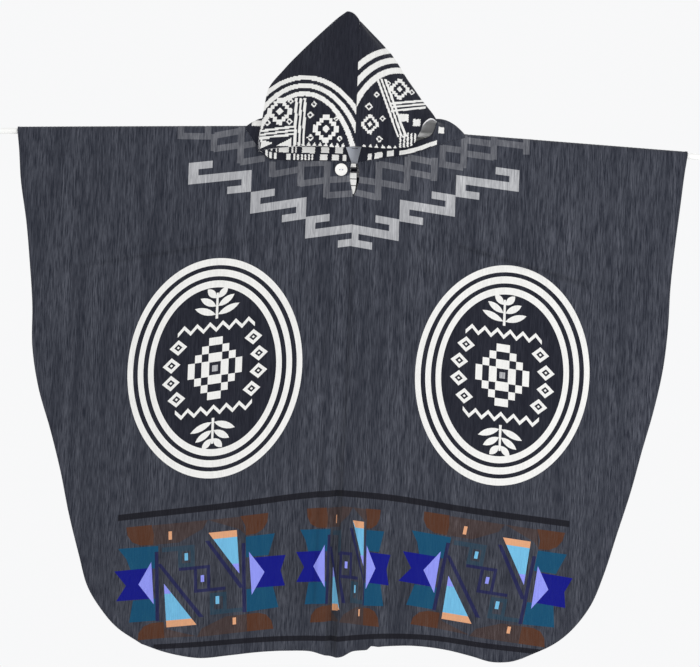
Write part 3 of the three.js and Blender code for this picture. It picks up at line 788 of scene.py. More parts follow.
def fret(outer, inner, top, slope):
    """One hooked bar from its outer upper corner: upper arm, post, long bar, post and lower arm."""
    arm, gap, bar = FRET_ROWS["arm"], FRET_ROWS["gap"], FRET_ROWS["bar"]
    width = outer - inner
    foot = -(2 * arm + 2 * gap + bar)
    parts = [
        block(-FRET_ARM, -arm, 0, 0),
        block(-FRET_POST, -(arm + gap + bar), 0, 0),
        block(-width, -(arm + gap + bar), 0, -(arm + gap)),
        block(-width, foot, -width + FRET_POST, -(arm + gap)),
        block(-width, foot, -width + FRET_ARM, foot + arm),
    ]
    return [("pale", shape((outer, top), corners, slope)) for corners in parts]


def chain_bar(side, x0, z0, x1, z1):
    """One bar of the dim chain between two points of its middle line."""
    half = CHAIN_LINE / 2
    if x0 == x1:
        corners = [(x0 - half, z0), (x0 + half, z0), (x0 + half, z1), (x0 - half, z1)]
    else:
        corners = [(x0, z0 + half), (x1, z1 + half), (x1, z1 - half), (x0, z0 - half)]
    return "dim", np.array([(SIGN[side] * (x - SEAM_X), z) for x, z in corners], float)


def yoke_shapes(side):
    """Both borders of the yoke."""
    chain = [chain_bar(side, *row) for row in CHAIN[side]]
    return chain + [part for row in FRETS[side] for part in fret(*row)]


for side in SIGN:
    print("the", side, "half of the yoke has", len(yoke_shapes(side)), "bars")

# %% [markdown]
# The band above the hem
#
# Two dark lines hold a row of geometric motifs. A motif is charted from its middle: notched tails, teal
# wings, brown caps, pale triangles, thin slanting lines and a small fret. It is woven as a running repeat,
# so it isn't mirrored on the other panel. One chart in one table is enough for all of them.

# %% Chart of the band
BAND = [
    ("rust", [(-94, 112), (12, 112), (2, 96), (-44, 74), (-94, 74)]),
    ("rust", [(12, 112), (76, 112), (84, 76), (72, 88)]),
    ("rust", [(94, -112), (-12, -112), (-2, -96), (44, -78), (84, -78)]),
    ("rust", [(-12, -110), (-76, -108), (-76, -77), (-68, -92)]),
    ("brown", [(-145, 113), (-143, 97), (-134, 83), (-118, 75), (-94, 74), (-92, 92), (-96, 113)]),
    ("brown", [(74, 113), (84, 92), (84, 75), (104, 76), (118, 84), (126, 97), (128, 114)]),
    ("brown", [(-126, -108), (-124, -94), (-114, -82), (-98, -77), (-76, -77), (-74, -108)]),
    ("brown", [(84, -78), (106, -78), (121, -83), (131, -95), (135, -112), (84, -112)]),
    ("teal", [(-161, 73), (-84, 71), (-84, 28), (-138, 30), (-146, 52)]),
    ("teal", [(-134, -30), (-84, -30), (-84, -73), (-142, -72)]),
    ("teal", [(84, 72), (140, 73), (127, 32), (84, 32)]),
    ("teal", [(84, -30), (135, -29), (145, -71), (84, -74)]),
    ("dusk", [(-77, 67), (-14, 67), (-14, 24), (-46, 24), (-46, 58), (-77, 58)]),
    ("dusk", [(77, -72), (14, -72), (14, -30), (46, -30), (46, -64), (77, -64)]),
    ("ground", block(-39, 33, -22, 56)),
    ("ground", block(22, -62, 39, -38)),
    ("blue", [(-169, 30), (-96, 30), (-96, -30), (-166, -28), (-147, 0)]),
    ("blue", [(94, 30), (160, 29), (150, 0), (158, -30), (94, -29)]),
    ("navy", block(-91, -74, -84, 60)),
    ("navy", block(76, -74, 83, 60)),
    ("navy", [(-87, 36), (-79, 36), (2, -74), (-7, -74)]),
    ("navy", [(6, 72), (14, 72), (80, -26), (71, -26)]),
    ("navy", block(-45, 19, 15, 25)),
    ("navy", block(-16, -26, 44, -20)),
    ("navy", block(-16, -26, -10, 25)),
    ("navy", block(9, -26, 15, 25)),
    ("lilac", [(-98, 41), (-123, 0), (-94, -41)]),
    ("lilac", [(90, 42), (119, 0), (94, -42)]),
    ("sky", [(13, 87), (67, 87), (71, 2)]),
    ("peach", [(13, 87), (67, 87), (67.7, 74), (21.7, 74)]),
    ("lilac", [(57.2, 22), (70, 22), (71, 2)]),
    ("sky", [(-74, -3), (-70, -88), (-12, -88)]),
    ("peach", [(-70.6, -75), (-70, -88), (-12, -88), (-21.5, -75)]),
    ("lilac", [(-74, -3), (-73, -23), (-60, -23)]),
    ("peach", block(-64, 81, -57.5, 97)),
    ("sky", block(-33.5, 38, -27, 52)),
    ("lilac", block(-3, -6.5, 3.5, 6.5)),
    ("sky", block(25, -52, 32, -37)),
    ("peach", block(57, -95.5, 63.5, -82)),
]
print("the chart of the band has", len(BAND), "shapes")

# %% [markdown]
# Where the band lies
#
# The motif stands once on each panel, and once more in the middle, half on each side of the seam. A place
# has its slope, because the weft sinks outwards, and its lean. The cloth beside the seam is gathered, so
# the middle motif is read through a table that says where each part of the chart has come to lie. A motif
# that crosses the seam is cut there.

# %% Places of the band
FULL = {"chart": [-180, 180], "x": [-180, 180]}
GATHERED = {
    "left": {
        "chart": [-169, -123, -96, -74, -60, -50, -40, -12],
        "x": [-97, -63, -41, -25, -21.4, -18.8, -13, -9],
    },
    "right": {
        "chart": [-74, -40, -16, 0, 13, 28, 60, 71, 94, 119, 160],
        "x": [-25, -19, -13, 0, 10, 19, 28, 33.5, 39.5, 57, 85],
    },
}
BAND_PLACES = {
    "left": [
        {"x": -258, "z": -876, "slope": 0.137, "lean": -0.05, "wide": FULL},
        {"x": 18, "z": -840, "slope": 0.09, "lean": 0.0, "wide": GATHERED["left"]},
    ],
    "right": [
        {"x": 291, "z": -859, "slope": 0.117, "lean": 0.17, "wide": FULL},
        {"x": 18, "z": -840, "slope": 0.08, "lean": 0.0, "wide": GATHERED["right"]},
    ],
}
BAND_LINES = {
    "left": [
        ([(0, -702), (70, -709), (200, -731), (430, -766)], 12),
        ([(0, -984), (60, -984), (180, -994), (352, -1012)], 10),
    ],
    "right": [
        ([(0, -702), (90, -707), (250, -726), (441, -745)], 12),
        ([(0, -984), (70, -976), (184, -975), (280, -984), (407, -995)], 10),
    ],
}
LINE_STEP = 12


def line_shape(points, thick):
    """A woven line of even thickness through a few points."""
    middle = smooth(points, LINE_STEP)
    return np.vstack([middle + (0, thick / 2), middle[::-1] - (0, thick / 2)])


def on_this_side(loop):
    """The part of a closed shape that lies on this side of the centre seam."""
    kept = []
    for here, after in zip(loop, np.roll(loop, -1, axis=0)):
        if here[0] >= 0:
            kept.append(here)
        if (here[0] >= 0) != (after[0] >= 0):
            kept.append(here + (after - here) * here[0] / (here[0] - after[0]))
    return np.array(kept)


def band_shapes(side):
    """The band of one panel."""
    sign = SIGN[side]
    shapes = [("black", line_shape(*row)) for row in BAND_LINES[side]]
    for place in BAND_PLACES[side]:
        start = sign * (place["x"] - SEAM_X)
        for name, corners in BAND:
            chart = np.array(corners, float)
            aside = np.interp(chart[:, 0], place["wide"]["chart"], place["wide"]["x"])
            out = start + sign * (aside + place["lean"] * chart[:, 1])
            loop = np.column_stack([out, place["z"] + chart[:, 1] - place["slope"] * (out - start)])
            if loop[:, 0].max() > 1:
                shapes.append((name, on_this_side(loop)))
    return shapes


def panel_shapes(side):
    """Everything that is woven into one face of a panel."""
    return yoke_shapes(side) + oval_shapes(side) + band_shapes(side)


for side in SIGN:
    print("the pattern of the", side, "panel has", len(panel_shapes(side)), "shapes")

# %% [markdown]
# Where the corners of the mesh lie
#
# The sheet is cut into small triangles. A triangle is flat, so there have to be more of them where the
# cloth bends sharply. A staggered grid covers the sheet, rows of closer points follow the creases and the
# centre seam, and a few rows follow the fold over the rod.

# %% Corners on the sheet
GRID_STEP = 8
ROW_STEP = GRID_STEP * 0.87
CLEAR_OF_EDGES = 3.2
CLEAR_ON_FOLD = 1.5
FINE_STEP = 3
FINE_CELL = 1.2
CREASE_REACH = 1.8
ROWS_IN_CREASE = 9
SEAM_REACH = 30
SEAM_HEIGHTS = (-140, -1010)


def fine_points(side):
    """Extra corners where the cloth bends within a few millimetres: along the creases and beside the seam."""
    points = []
    for face, rows in CREASES.items():
        heights = np.arange(*SEAM_HEIGHTS, -2 * FINE_STEP)
        x, z = np.meshgrid(np.arange(FINE_STEP, SEAM_REACH, FINE_STEP), heights)
        spots = [(x.ravel(), z.ravel())]
        for crease in rows:
            (ax, az), (bx, bz) = crease["start"], crease["end"]
            length, reach = math.hypot(bx - ax, bz - az), crease["width"] * CREASE_REACH
            steps = np.arange(0, length, 2 * FINE_STEP) / length
            along, away = np.meshgrid(steps, np.linspace(-reach, reach, ROWS_IN_CREASE))
            x = ax + (bx - ax) * along - (bz - az) / length * away
            z = az + (bz - az) * along + (bx - ax) / length * away
            spots.append((SIGN[side] * (x.ravel() - SEAM_X), z.ravel()))
        points += [np.column_stack([out, sheet_down(side, out, z, face)]) for out, z in spots]
    cells = {}
    for out, down in np.vstack(points).tolist():
        cells[round(out / FINE_CELL), round(down / FINE_CELL)] = (out, down)
    return np.array(list(cells.values()))


def clear_of(points, taken, distance):
    """The points that keep their distance from all corners already taken."""
    tree = KDTree(len(taken))
    for i, (out, down) in enumerate(taken):
        tree.insert((out, down, 0), i)
    tree.balance()
    return points[[tree.find((out, down, 0))[2] > distance for out, down in points]]


def sheet_points(outline, taken, side):
    """Fine corners and a staggered grid inside the outline, clear of the corners that are already there."""
    fine = fine_points(side)
    fine = clear_of(fine[inside(outline, fine)], taken, FINE_STEP * 0.4)
    low, high = outline.min(0), outline.max(0)
    arc_rows = [-FOLD_LENGTH * k / ARC_STEPS for k in range(ARC_STEPS + 1)]
    rows = [d for d in np.arange(low[1], high[1], ROW_STEP) if d > 0.1 or d < -FOLD_LENGTH - 0.1]
    points = []
    for k, down in enumerate(arc_rows + rows):
        out = np.arange(low[0] + (k % 2) * GRID_STEP / 2, high[0], GRID_STEP)
        points.append(np.column_stack([out, np.full(len(out), down)]))
    points = np.vstack(points)
    points = points[inside(outline, points)]
    on_arc = (points[:, 1] >= -FOLD_LENGTH - 0.1) & (points[:, 1] <= 0.1)
    arc = clear_of(points[on_arc], taken, CLEAR_ON_FOLD)
    grid = clear_of(points[~on_arc], np.vstack([taken, fine]), CLEAR_OF_EDGES)
    return np.vstack([fine, arc, grid])


for side in SIGN:
    print(side, "panel:", len(fine_points(side)), "fine corners before those off the sheet are dropped")

# %% [markdown]
# From the chart to the sheet
#
# The triangles follow the outline and the edge of every woven shape, so each colour ends in a clean line,
# as it does between two threads. A Delaunay triangulation with fixed edges does that in one step. The
# colour of a triangle is read at its middle, from the same shapes.

# %% Cutting the sheet
SIDE_STEP = 7
SAME_POINT = 1e-4


def with_steps(loop):
    """A closed shape with extra corners along its sides, so that they follow the bends of the cloth."""
    rows = []
    for here, after in zip(loop, np.roll(loop, -1, axis=0)):
        count = max(1, math.ceil(np.linalg.norm(after - here) / SIDE_STEP))
        rows.append(here + (after - here) * (np.arange(count) / count)[:, None])
    return np.vstack(rows)


def loop_edges(loops):
    """Pairs of corner numbers that go round each of several closed loops."""
    edges, start = [], 0
    for loop in loops:
        index = np.arange(start, start + len(loop))
        edges += zip(index.tolist(), np.roll(index, -1).tolist())
        start += len(loop)
    return edges


def cut_flat(points, loops):
    """Corners and triangles of a flat piece whose triangles follow the loops."""
    points = [Vector(p) for p in points]
    made, _, faces, *_ = delaunay_2d_cdt(points, loop_edges(loops), [], 0, SAME_POINT, False)
    return np.array([(p.x, p.y) for p in made]), np.array(faces)


def cut_sheet(side):
    """Corners and triangles of a panel's flat sheet, with the colour of each triangle."""
    outline, _ = panel_outline(side)
    loops = [outline]
    flat = []
    for face in ("front", "back"):
        for name, corners in panel_shapes(side):
            loop = with_steps(corners)
            on_sheet = np.column_stack([loop[:, 0], sheet_down(side, loop[:, 0], loop[:, 1], face)])
            flat.append((name, on_sheet))
            loops.append(on_sheet)
    corners = np.vstack(loops)
    made, faces = cut_flat(np.vstack([corners, sheet_points(outline, corners, side)]), loops)
    middle = made[faces].mean(axis=1)
    keep = inside(outline, middle)
    return made, faces[keep], paint(flat, middle[keep], "ground")


print("the sides of a shape are cut into steps of at most", SIDE_STEP, "mm")

# %% [markdown]
# A sheet with a thickness
#
# Real cloth has two faces and an edge. A second layer of the same triangles lies one cloth thickness
# further in and carries the reverse, and a narrow strip closes the edge. The thickness is made here, in the
# mesh, and each layer can have its own yarns.

# %% Shell
SHARP_EDGE = math.radians(50)


def shell(name, outer, normals, faces, colour, thick):
    """A closed mesh from an outer face: its reverse lies one thickness in, and a strip closes the edges."""
    used = np.unique(faces)
    renumber = np.full(len(outer), -1)
    renumber[used] = np.arange(len(used))
    outer, normals, faces, thick = outer[used], normals[used], renumber[faces], thick[used, None]
    count = len(outer)
    vertices = np.vstack([outer, outer - normals * thick]) * MM
    edges = np.vstack([faces[:, [i, (i + 1) % faces.shape[1]]] for i in range(faces.shape[1])])
    owner = np.tile(np.arange(len(faces)), faces.shape[1])
    forward = {(a, b): f for (a, b), f in zip(map(tuple, edges.tolist()), owner.tolist()) if a != b}
    rim = [(a, b, f) for (a, b), f in forward.items() if (b, a) not in forward]
    polygons = [list(dict.fromkeys(face)) for face in faces.tolist()]
    polygons += [[c + count for c in face[::-1]] for face in polygons]
    polygons += [(b, a, a + count, b + count) for a, b, _ in rim]
    reverse = np.array([NAMES.index(REVERSE_OF.get(n, n)) for n in NAMES])
    colours = np.concatenate([colour, reverse[colour], colour[[f for *_, f in rim]]])
    mesh = bpy.data.meshes.new(name)
    mesh.from_pydata(vertices.tolist(), [], polygons)
    for material in WOOL:
        mesh.materials.append(material)
    mesh.polygons.foreach_set("material_index", colours.astype(np.int32))
    mesh.shade_smooth()
    mesh.set_sharp_from_angle(angle=SHARP_EDGE)
    print(name, "has", sum(len(p) - 2 for p in polygons), "triangles")
    return new_object(name, mesh)


print("an edge of the cloth is sharp above", round(math.degrees(SHARP_EDGE)), "degrees")

# %% [markdown]
# The two panels
#
# Each panel is cut flat, bent into place and given its thickness.

# %% Panels
panels = {}
for side in SIGN:
    flat, faces, colour = cut_sheet(side)
    outer = hang(side, flat[:, 0], flat[:, 1])
    normals = hang_normals(side, flat[:, 0], flat[:, 1])
    corner = outer[faces[:, 0]]
    turn = np.cross(outer[faces[:, 1]] - corner, outer[faces[:, 2]] - corner)
    if (turn * normals[faces[:, 0]]).sum() < 0:
        faces = faces[:, ::-1]
    panels[side] = shell("cloth_panel_" + side, outer, normals, faces, colour, np.full(len(outer), CLOTH))

# %% [markdown]
# The hood
#
# Each side of the hood is a curved surface between the crown seam, the folded outline and the back seam. It
# is described by sections from the brow to the tip, as a pattern maker takes measures at a few heights. The
# lower front corners are folded outwards, and a narrow strip below them carries the chin border.

# %% Tables of the hood
BROW = {
    "y": [-44, -46, -47, -47, -46, -44, -41, -37, -32],
    "left": {
        "out": [0.15, 29, 58, 82, 109, 138, 162, 177, 186],
        "z": [-33, -35, -34, -34.5, -36, -39, -42, -45, -48],
    },
    "right": {
        "out": [0.15, 30, 58, 86, 110, 121, 129, 143, 157],
        "z": [-33, -34, -35, -33, -27, -4, 16, 27, 22],
    },
}
CHIN = {
    "left": {"out": [19, 38, 66, 98, 130, 160], "z": [-30, -28, -28, -29, -32, -38]},
    "right": {"out": [13, 34, 60, 90, 119, 148], "z": [-30, -28, -27, -24, -18, -4]},
}
CHIN_Y = -17
HOOD_SEAMS = {
    "front_z": [-33, -8, 20, 50, 80, 108, 134, 158, 180, 199, 214],
    "front_y": [-44, -45, -44, -41, -37, -32, -27, -21, -15, -10, -5],
    "back_z": [24, 42, 60, 80, 100, 121, 142, 163, 183, 201, 214],
    "back_y": [17, 20, 22, 23, 23, 22, 19, 16, 12, 9, 6],
}
HOOD_OUTLINE = {
    "y": [-32, -24, -15, -9, -6, -4, -3, -2, -1, 0, 0],
    "left": {
        "out": [186, 184, 181, 177, 169, 140, 115, 89, 63, 42, 25],
        "z": [-48, -20, 15, 50, 80, 118, 146, 173, 199, 219, 232],
    },
    "right": {
        "out": [157, 148, 138, 126, 113, 98, 84, 68, 47, 23, 4],
        "z": [22, 36, 48, 63, 80, 99, 120, 142, 163, 188, 209],
    },
}
ACROSS = [0, 0.15, 0.3, 0.45, 0.6, 0.75, 0.87, 0.95, 1]
SECTIONS = 11
FRONT_FULLNESS = 2.4
SECTION_ARCH = 1.1
TIP_ROUND = {"left": 2.3, "right": 1.0}
TIP_SECTIONS = 3
TIP_THIN_SECTIONS = 2.0
TIP_THICK = 0.25
print("the hood stands", HOOD_OUTLINE["left"]["z"][-1], "mm above the middle of the rod")

# %% [markdown]
# Rows of the hood
#
# Reading the tables with a smooth curve gives as many rows as the woven pattern needs. The cells are one to
# two millimetres wide, close to the real thread steps, so the pattern can be painted cell by cell and gets
# the small stairs that a weave has.

# %% Hood rows
FRONT_COLUMNS = 96
ROWS_A_SECTION = 18


def hood_rows(side):
    """Rows from the crown seam to the back seam, and their places on the flat cloth."""
    sections = np.linspace(0, SECTIONS - 1, (SECTIONS - 1) * ROWS_A_SECTION + 1)

    def read(table):
        return spline(table, sections)

    front_z, front_y = read(HOOD_SEAMS["front_z"]), read(HOOD_SEAMS["front_y"])
    back_z, back_y = read(HOOD_SEAMS["back_z"]), read(HOOD_SEAMS["back_y"])
    fold_y = read(HOOD_OUTLINE["y"])
    fold_out, fold_z = read(HOOD_OUTLINE[side]["out"]), read(HOOD_OUTLINE[side]["z"])
    section = sections[:, None]
    share = np.linspace(0, 1, FRONT_COLUMNS + 1)[None, :]
    at_tip = ease(TIP_SECTIONS, 0, SECTIONS - 1 - section)
    lift = share**SECTION_ARCH * (1 - at_tip) + (1 - (1 - share) ** TIP_ROUND[side]) * at_tip
    out = np.maximum(SEAM_GAP / 2, fold_out * share)
    y = fold_y + (front_y - fold_y) * (1 - share**FRONT_FULLNESS)
    z = front_z + (fold_z - front_z) * lift
    brow_place = np.interp(share[0], ACROSS, np.arange(len(ACROSS)))
    brow = spline(np.column_stack([BROW[side]["out"], BROW["y"], BROW[side]["z"]]), brow_place)
    near = np.clip(1 - section, 0, 1)
    out = out * (1 - near) + np.maximum(SEAM_GAP / 2, brow[:, 0]) * near
    y = y * (1 - near) + brow[:, 1] * near
    z = z * (1 - near) + brow[:, 2] * near
    front = np.stack([out, y, z], axis=2)
    left = np.linspace(1, 0, BACK_COLUMNS + 1)[None, 1:]
    out = np.maximum(SEAM_GAP / 2, fold_out * (1 - (1 - left) ** np.maximum(2, 3 - section / 3)))
    y = fold_y + (back_y - fold_y) * (1 - left ** np.minimum(2.4, 1.6 + 0.3 * section))
    z = fold_z + (back_z - fold_z) * (1 - left ** np.maximum(2.5, 4 - section / 2))
    back = np.stack([out, y, z], axis=2)
    rows = np.concatenate([front, back], axis=1)
    flat = rows[:, :, [0, 2]].copy()
    flat[:, FRONT_COLUMNS + 1 :, 0] = 2 * fold_out - flat[:, FRONT_COLUMNS + 1 :, 0]
    rows[:, :, 0] = SEAM_X + SIGN[side] * rows[:, :, 0]
    return rows, flat


for side in SIGN:
    row_count, column_count, _ = hood_rows(side)[0].shape
    print("the", side, "side of the hood has", row_count, "rows of", column_count, "corners")

# %% [markdown]
# From the neckline to the hood
#
# The hood is sewn to the neckline, so its lowest rows start on the same points. At the front they rise to
# the free edge of the chin strip, and behind the folded corner they run up into the lowest section. A curve
# through three rows, with the middle one lifted, gives the roll of the cloth there.

# %% Neck rows
NECK_ROWS = 24
NECK_GAP = SEAM_GAP * 1.1
NECK_BULGE = {"left": 6, "right": 15}
NECK_BULGE_COLUMNS = 12


def neck_rows(side, rows):
    """Rows from the neckline to the chin strip's free edge and, behind the corner, to the lowest section."""
    path, columns = neck_path(side)
    base = hang(side, path[:, 0], path[:, 1])
    normal = hang_normals(side, path[:, 0], path[:, 1])
    along = np.gradient(base, axis=0)
    off = -SIGN[side] * np.cross(along, normal)
    off /= np.linalg.norm(off, axis=1, keepdims=True)
    neck = base + off * NECK_GAP
    neck[-1, 0] = base[-1, 0]
    corner = rows[0, FRONT_COLUMNS]
    chin_columns = columns[:CHIN_COLUMNS]
    table = np.column_stack([CHIN[side]["out"], CHIN[side]["z"]])
    table = np.vstack([table, [abs(corner[0] - SEAM_X), corner[2]]])
    chin = spline(table, chin_columns)
    chin_y = CHIN_Y + (corner[1] - CHIN_Y) * (chin_columns / 6) ** 3
    edge = np.column_stack([SEAM_X + SIGN[side] * chin[:, 0], chin_y, chin[:, 1]])
    target = np.vstack([edge, rows[0, FRONT_COLUMNS:]])
    middle = (neck + target) / 2
    bulge = np.clip((columns - 6) / NECK_BULGE_COLUMNS, 0, 1)
    middle[:, 2] += NECK_BULGE[side] * np.sin(math.pi * bulge) ** 2
    t = np.linspace(0, 1, NECK_ROWS + 1)[:, None, None]
    band = neck * (1 - t) * (1 - 2 * t) + middle * 4 * t * (1 - t) + target * t * (2 * t - 1)
    return band, normal, columns


for side in SIGN:
    print(side, "side:", neck_rows(side, hood_rows(side)[0])[0].shape[:2], "rows and corners at the neck")

# %% [markdown]
# Faces and directions
#
# A table of corner numbers turns into faces by taking each corner with its neighbours. The direction of the
# surface at a corner is the sum of the faces round it. The thickness is added along that direction.

# %% Faces and normals
def quads(index):
    """Faces between the rows of a table of corner numbers."""
    a, b, c, d = index[:-1, :-1], index[:-1, 1:], index[1:, 1:], index[1:, :-1]
    return np.stack([a, b, c, d], axis=2).reshape(-1, 4)


def mesh_normals(points, faces):
    """Smooth directions at the corners of a mesh."""
    sums = np.zeros_like(points)
    diagonal = points[faces[:, 2]] - points[faces[:, 0]]
    area = np.cross(diagonal, points[faces[:, 3]] - points[faces[:, 1]])
    for k in range(4):
        np.add.at(sums, faces[:, k], area)
    return sums / np.maximum(np.linalg.norm(sums, axis=1, keepdims=True), 1e-9)


print("three rows of four corners make", len(quads(np.arange(12).reshape(3, 4))), "faces")

# %% [markdown]
# The pattern of the hood
#
# The hood is cut from the same kind of cloth, so parts of big ovals lie on it: three rings, a triple bar
# and a triple rail. What stands between them is this script's own: stepped diamonds, small diamonds and
# rows of triangles. The shapes are laid out on the flat cloth, where the side folded behind the outline is
# unfolded.

# %% Hood pattern
HOOD_RINGS = {
    "left": {"centre": (100.5, -123), "half": (150, 225), "pitch": (18, 16), "width": (10, 9)},
    "right": {"centre": (85, -45), "half": (150, 213), "pitch": (19, 21), "width": (11, 12)},
}
HOOD_BAR_LINES = [(0, 5), (8.5, 13), (16.5, 22)]
HOOD_RAIL_LINES = [(0, 4.5), (7.5, 11.5), (14.5, 19)]


def placed(name, corners, out, z):
    """A hood motif at its place."""
    return name, shape((out, z), corners)


def small_diamonds(rows):
    """Small white diamonds with a dark middle."""
    parts = []
    for out, z, size in rows:
        parts.append(placed("white", diamond(size, size), out, z))
        parts.append(placed("night", diamond(size / 2, size / 2), out, z))
    return parts


def stepped_star(out, z, size):
    """A stepped diamond with a dark stepped field and a white heart."""
    half = size * 0.62
    return [
        placed("white", stepped(size, size * 1.1, 4), out, z),
        placed("night", stepped(half, half * 1.1, 3), out, z),
        placed("white", diamond(size * 0.3, size * 0.33), out, z),
    ]


def teeth(start, end, z, height, pitch):
    """A row of small triangles that stand on a line."""
    count = int((end - start) / pitch)
    tooth = [(0, 0), (pitch * 0.9, 0), (pitch * 0.45, height)]
    return [placed("white", tooth, start + k * pitch, z) for k in range(count)]


print("a stepped star is made of", len(stepped_star(0, 0, 24)), "shapes")

# %% [markdown]
# Both sides of the hood, drawn
#
# The two sides aren't alike: on the left the bars stand upright, and on the right they slant, because that
# side is turned back further. So each side has its own list of shapes, and both share the rings and the
# small motifs.

# %% Shapes of the hood
def left_hood_shapes():
    """Bars, rails and small motifs of the left side."""
    parts = [("white", np.array(block(97 + a, -40, 97 + b, 57), float)) for a, b in HOOD_BAR_LINES]
    for a, b in HOOD_RAIL_LINES:
        rail = [(119, 3 - a), (192, -8 - a), (192, -8 - b), (119, 3 - b)]
        parts.append(("white", np.array(rail, float)))
    parts += stepped_star(148, 30, 24)
    parts += small_diamonds([(128, 10, 7), (171, 8, 8), (127, 50, 6)])
    parts.append(placed("white", [(0, 0), (30, 0), (0, 17)], 122, -38))
    parts.append(placed("white", [(0, 0), (24, 6), (24, -12)], 158, -32))
    parts += stepped_star(57, -2, 25)
    parts += small_diamonds([(88, 24, 7), (82, 45, 6), (86, -20, 7), (30, -20, 6), (38, 18, 5)])
    return parts + teeth(18, 96, -37, 9, 11)


def right_hood_shapes():
    """The same for the right side, where the triple bar slants."""
    parts = []
    for a, b in HOOD_BAR_LINES:
        bar = [(36 + a * 0.9, 100), (36 + b * 0.9, 100), (80 + b * 0.9, -12), (80 + a * 0.9, -12)]
        parts.append(("white", np.array(bar, float)))
    for a, b in HOOD_RAIL_LINES:
        rail = [(66, 54 - a), (134, 66 - a), (134, 66 - b), (66, 54 - b)]
        parts.append(("white", np.array(rail, float)))
    parts += stepped_star(82, 82, 19)
    parts += small_diamonds([(106, 78, 6), (60, 92, 5)])
    parts += stepped_star(27, 10, 17)
    parts += small_diamonds([(24, 44, 8), (38, 68, 6), (46, -18, 7), (51, 22, 6)])
    for row in ((84, 18, 101, 33), (110, 10, 124, 24)):
        parts.append(("white", np.array(block(*row), float)))
    for k in range(5):
        parts.append(("white", np.array(block(85 + 7 * k, -34, 88.5 + 7 * k, -4), float)))
    return parts + teeth(12, 84, -37, 9, 12)


def hood_shapes(side):
    """Rings and bars on one side of the hood, on its flat cloth."""
    return three_rings(**HOOD_RINGS[side]) + (left_hood_shapes() if side == "left" else right_hood_shapes())


for side in SIGN:
    print("the", side, "side of the hood has", len(hood_shapes(side)), "shapes")

# %% [markdown]
# The chin strip
#
# Below the brow a narrow strip of the hood stands up from the neckline. Its border is two rows of white
# blocks: thin bars near the corner, wider ones near the throat. The table gives where each block starts and
# ends, as distances from the centre seam, and the rows follow the neckline.

# %% Blocks of the chin strip
CHIN_BLOCKS = {
    "left": [
        (1.5, 13, [
            (16, 23), (30.5, 44), (52.5, 67), (80.5, 83.5), (86.5, 90), (93.5, 97), (100, 103.5),
            (107.5, 111.5), (115, 118.5), (124, 132), (151, 156), (160, 165), (168, 172.5),
        ]),
        (15, 27, [
            (23, 38), (50, 65), (77, 102), (112.5, 115.5), (119, 122.5), (127.5, 147), (150, 153), (159, 162),
        ]),
    ],
    "right": [
        (2, 13, [(25.5, 33), (38.5, 53.5), (62, 75.5)]),
        (2, 10, [(86, 158)]),
    ],
}
COLLAR_BLOCKS = {
    "left": [("white", block(181, 2, 201, 13))],
    "right": [("ground", block(150, -36, 240, 40)), ("white", block(160, 0, 171, 12))],
}


def chin_shapes(side):
    """The blocks of the chin strip, by distance from the seam and height."""
    parts = []
    for low, high, spans in CHIN_BLOCKS[side]:
        for start, end in spans:
            out = np.linspace(start, end, 6)
            neck = np.interp(out, NECKLINE["out"], NECKLINE[side])
            upper = np.column_stack([out, neck + high])
            parts.append(("white", np.vstack([np.column_stack([out, neck + low]), upper[::-1]])))
    return [(name, np.array(corners, float)) for name, corners in COLLAR_BLOCKS[side]] + parts


for side in SIGN:
    print("the", side, "chin strip has", len(chin_shapes(side)), "blocks")

# %% [markdown]
# The two sides of the hood
#
# All rows of a side become one mesh: the hood, a small cap at its tip and the rows at the neck. The cloth
# thins out at the tip, where four layers would lie in one point. Cells of the hood take their colour from
# its flat cloth, and cells of the strip take it from their own place.

# %% Hood sides
OFF_THE_CLOTH = 999.0


def hood_side(side):
    """One side of the hood as a closed shell."""
    rows, flat = hood_rows(side)
    band, neck_normal, columns = neck_rows(side, rows)
    grid = np.arange(rows.shape[0] * rows.shape[1]).reshape(rows.shape[:2])
    points = [rows.reshape(-1, 3)]
    count = grid.size
    cap = quads(np.stack([grid[-1, : FRONT_COLUMNS + 1], grid[-1, FRONT_COLUMNS:][::-1]]))
    neck_index = np.arange(NECK_ROWS * len(columns)).reshape(NECK_ROWS, len(columns)) + count
    points.append(band[:NECK_ROWS].reshape(-1, 3))
    count += neck_index.size
    edge = np.arange(CHIN_COLUMNS) + count
    points.append(band[NECK_ROWS, :CHIN_COLUMNS])
    count += CHIN_COLUMNS
    top = np.concatenate([edge, grid[0, FRONT_COLUMNS:]])
    neck_index = np.vstack([neck_index, top])
    faces = np.vstack([quads(grid), cap, quads(neck_index)])
    points = np.vstack(points)
    if side == "left":
        faces = faces[:, ::-1]
    normals = mesh_normals(points, faces)
    normals[grid[:, 0]] = (0, -1, 0)
    normals[grid[:, -1]] = (0, 1, 0)
    normals[neck_index[:-1, -1]] = (0, 1, 0)
    normals[neck_index[0]] = neck_normal
    middle = points[faces].mean(axis=1)
    on_strip = faces.max(axis=1) >= grid.size
    where = np.vstack([flat.reshape(-1, 2), np.full((len(points) - grid.size, 2), OFF_THE_CLOTH)])
    colour = paint(hood_shapes(side), where[faces].mean(axis=1), "night")
    strip_place = np.column_stack([SIGN[side] * (middle[:, 0] - SEAM_X), middle[:, 2]])
    strip_colour = paint(chin_shapes(side), strip_place, "night")
    colour[on_strip] = np.where(middle[on_strip, 1] < 0, strip_colour[on_strip], NAMES.index("night"))
    thick = np.full(len(points), CLOTH)
    to_tip = np.linspace(SECTIONS - 1, 0, rows.shape[0])[:, None] + np.zeros(rows.shape[:2])
    thick[grid] = CLOTH - (CLOTH - TIP_THICK) * ease(TIP_THIN_SECTIONS, 0, to_tip)
    return shell("cloth_hood_" + side, points, normals, faces, colour, thick)


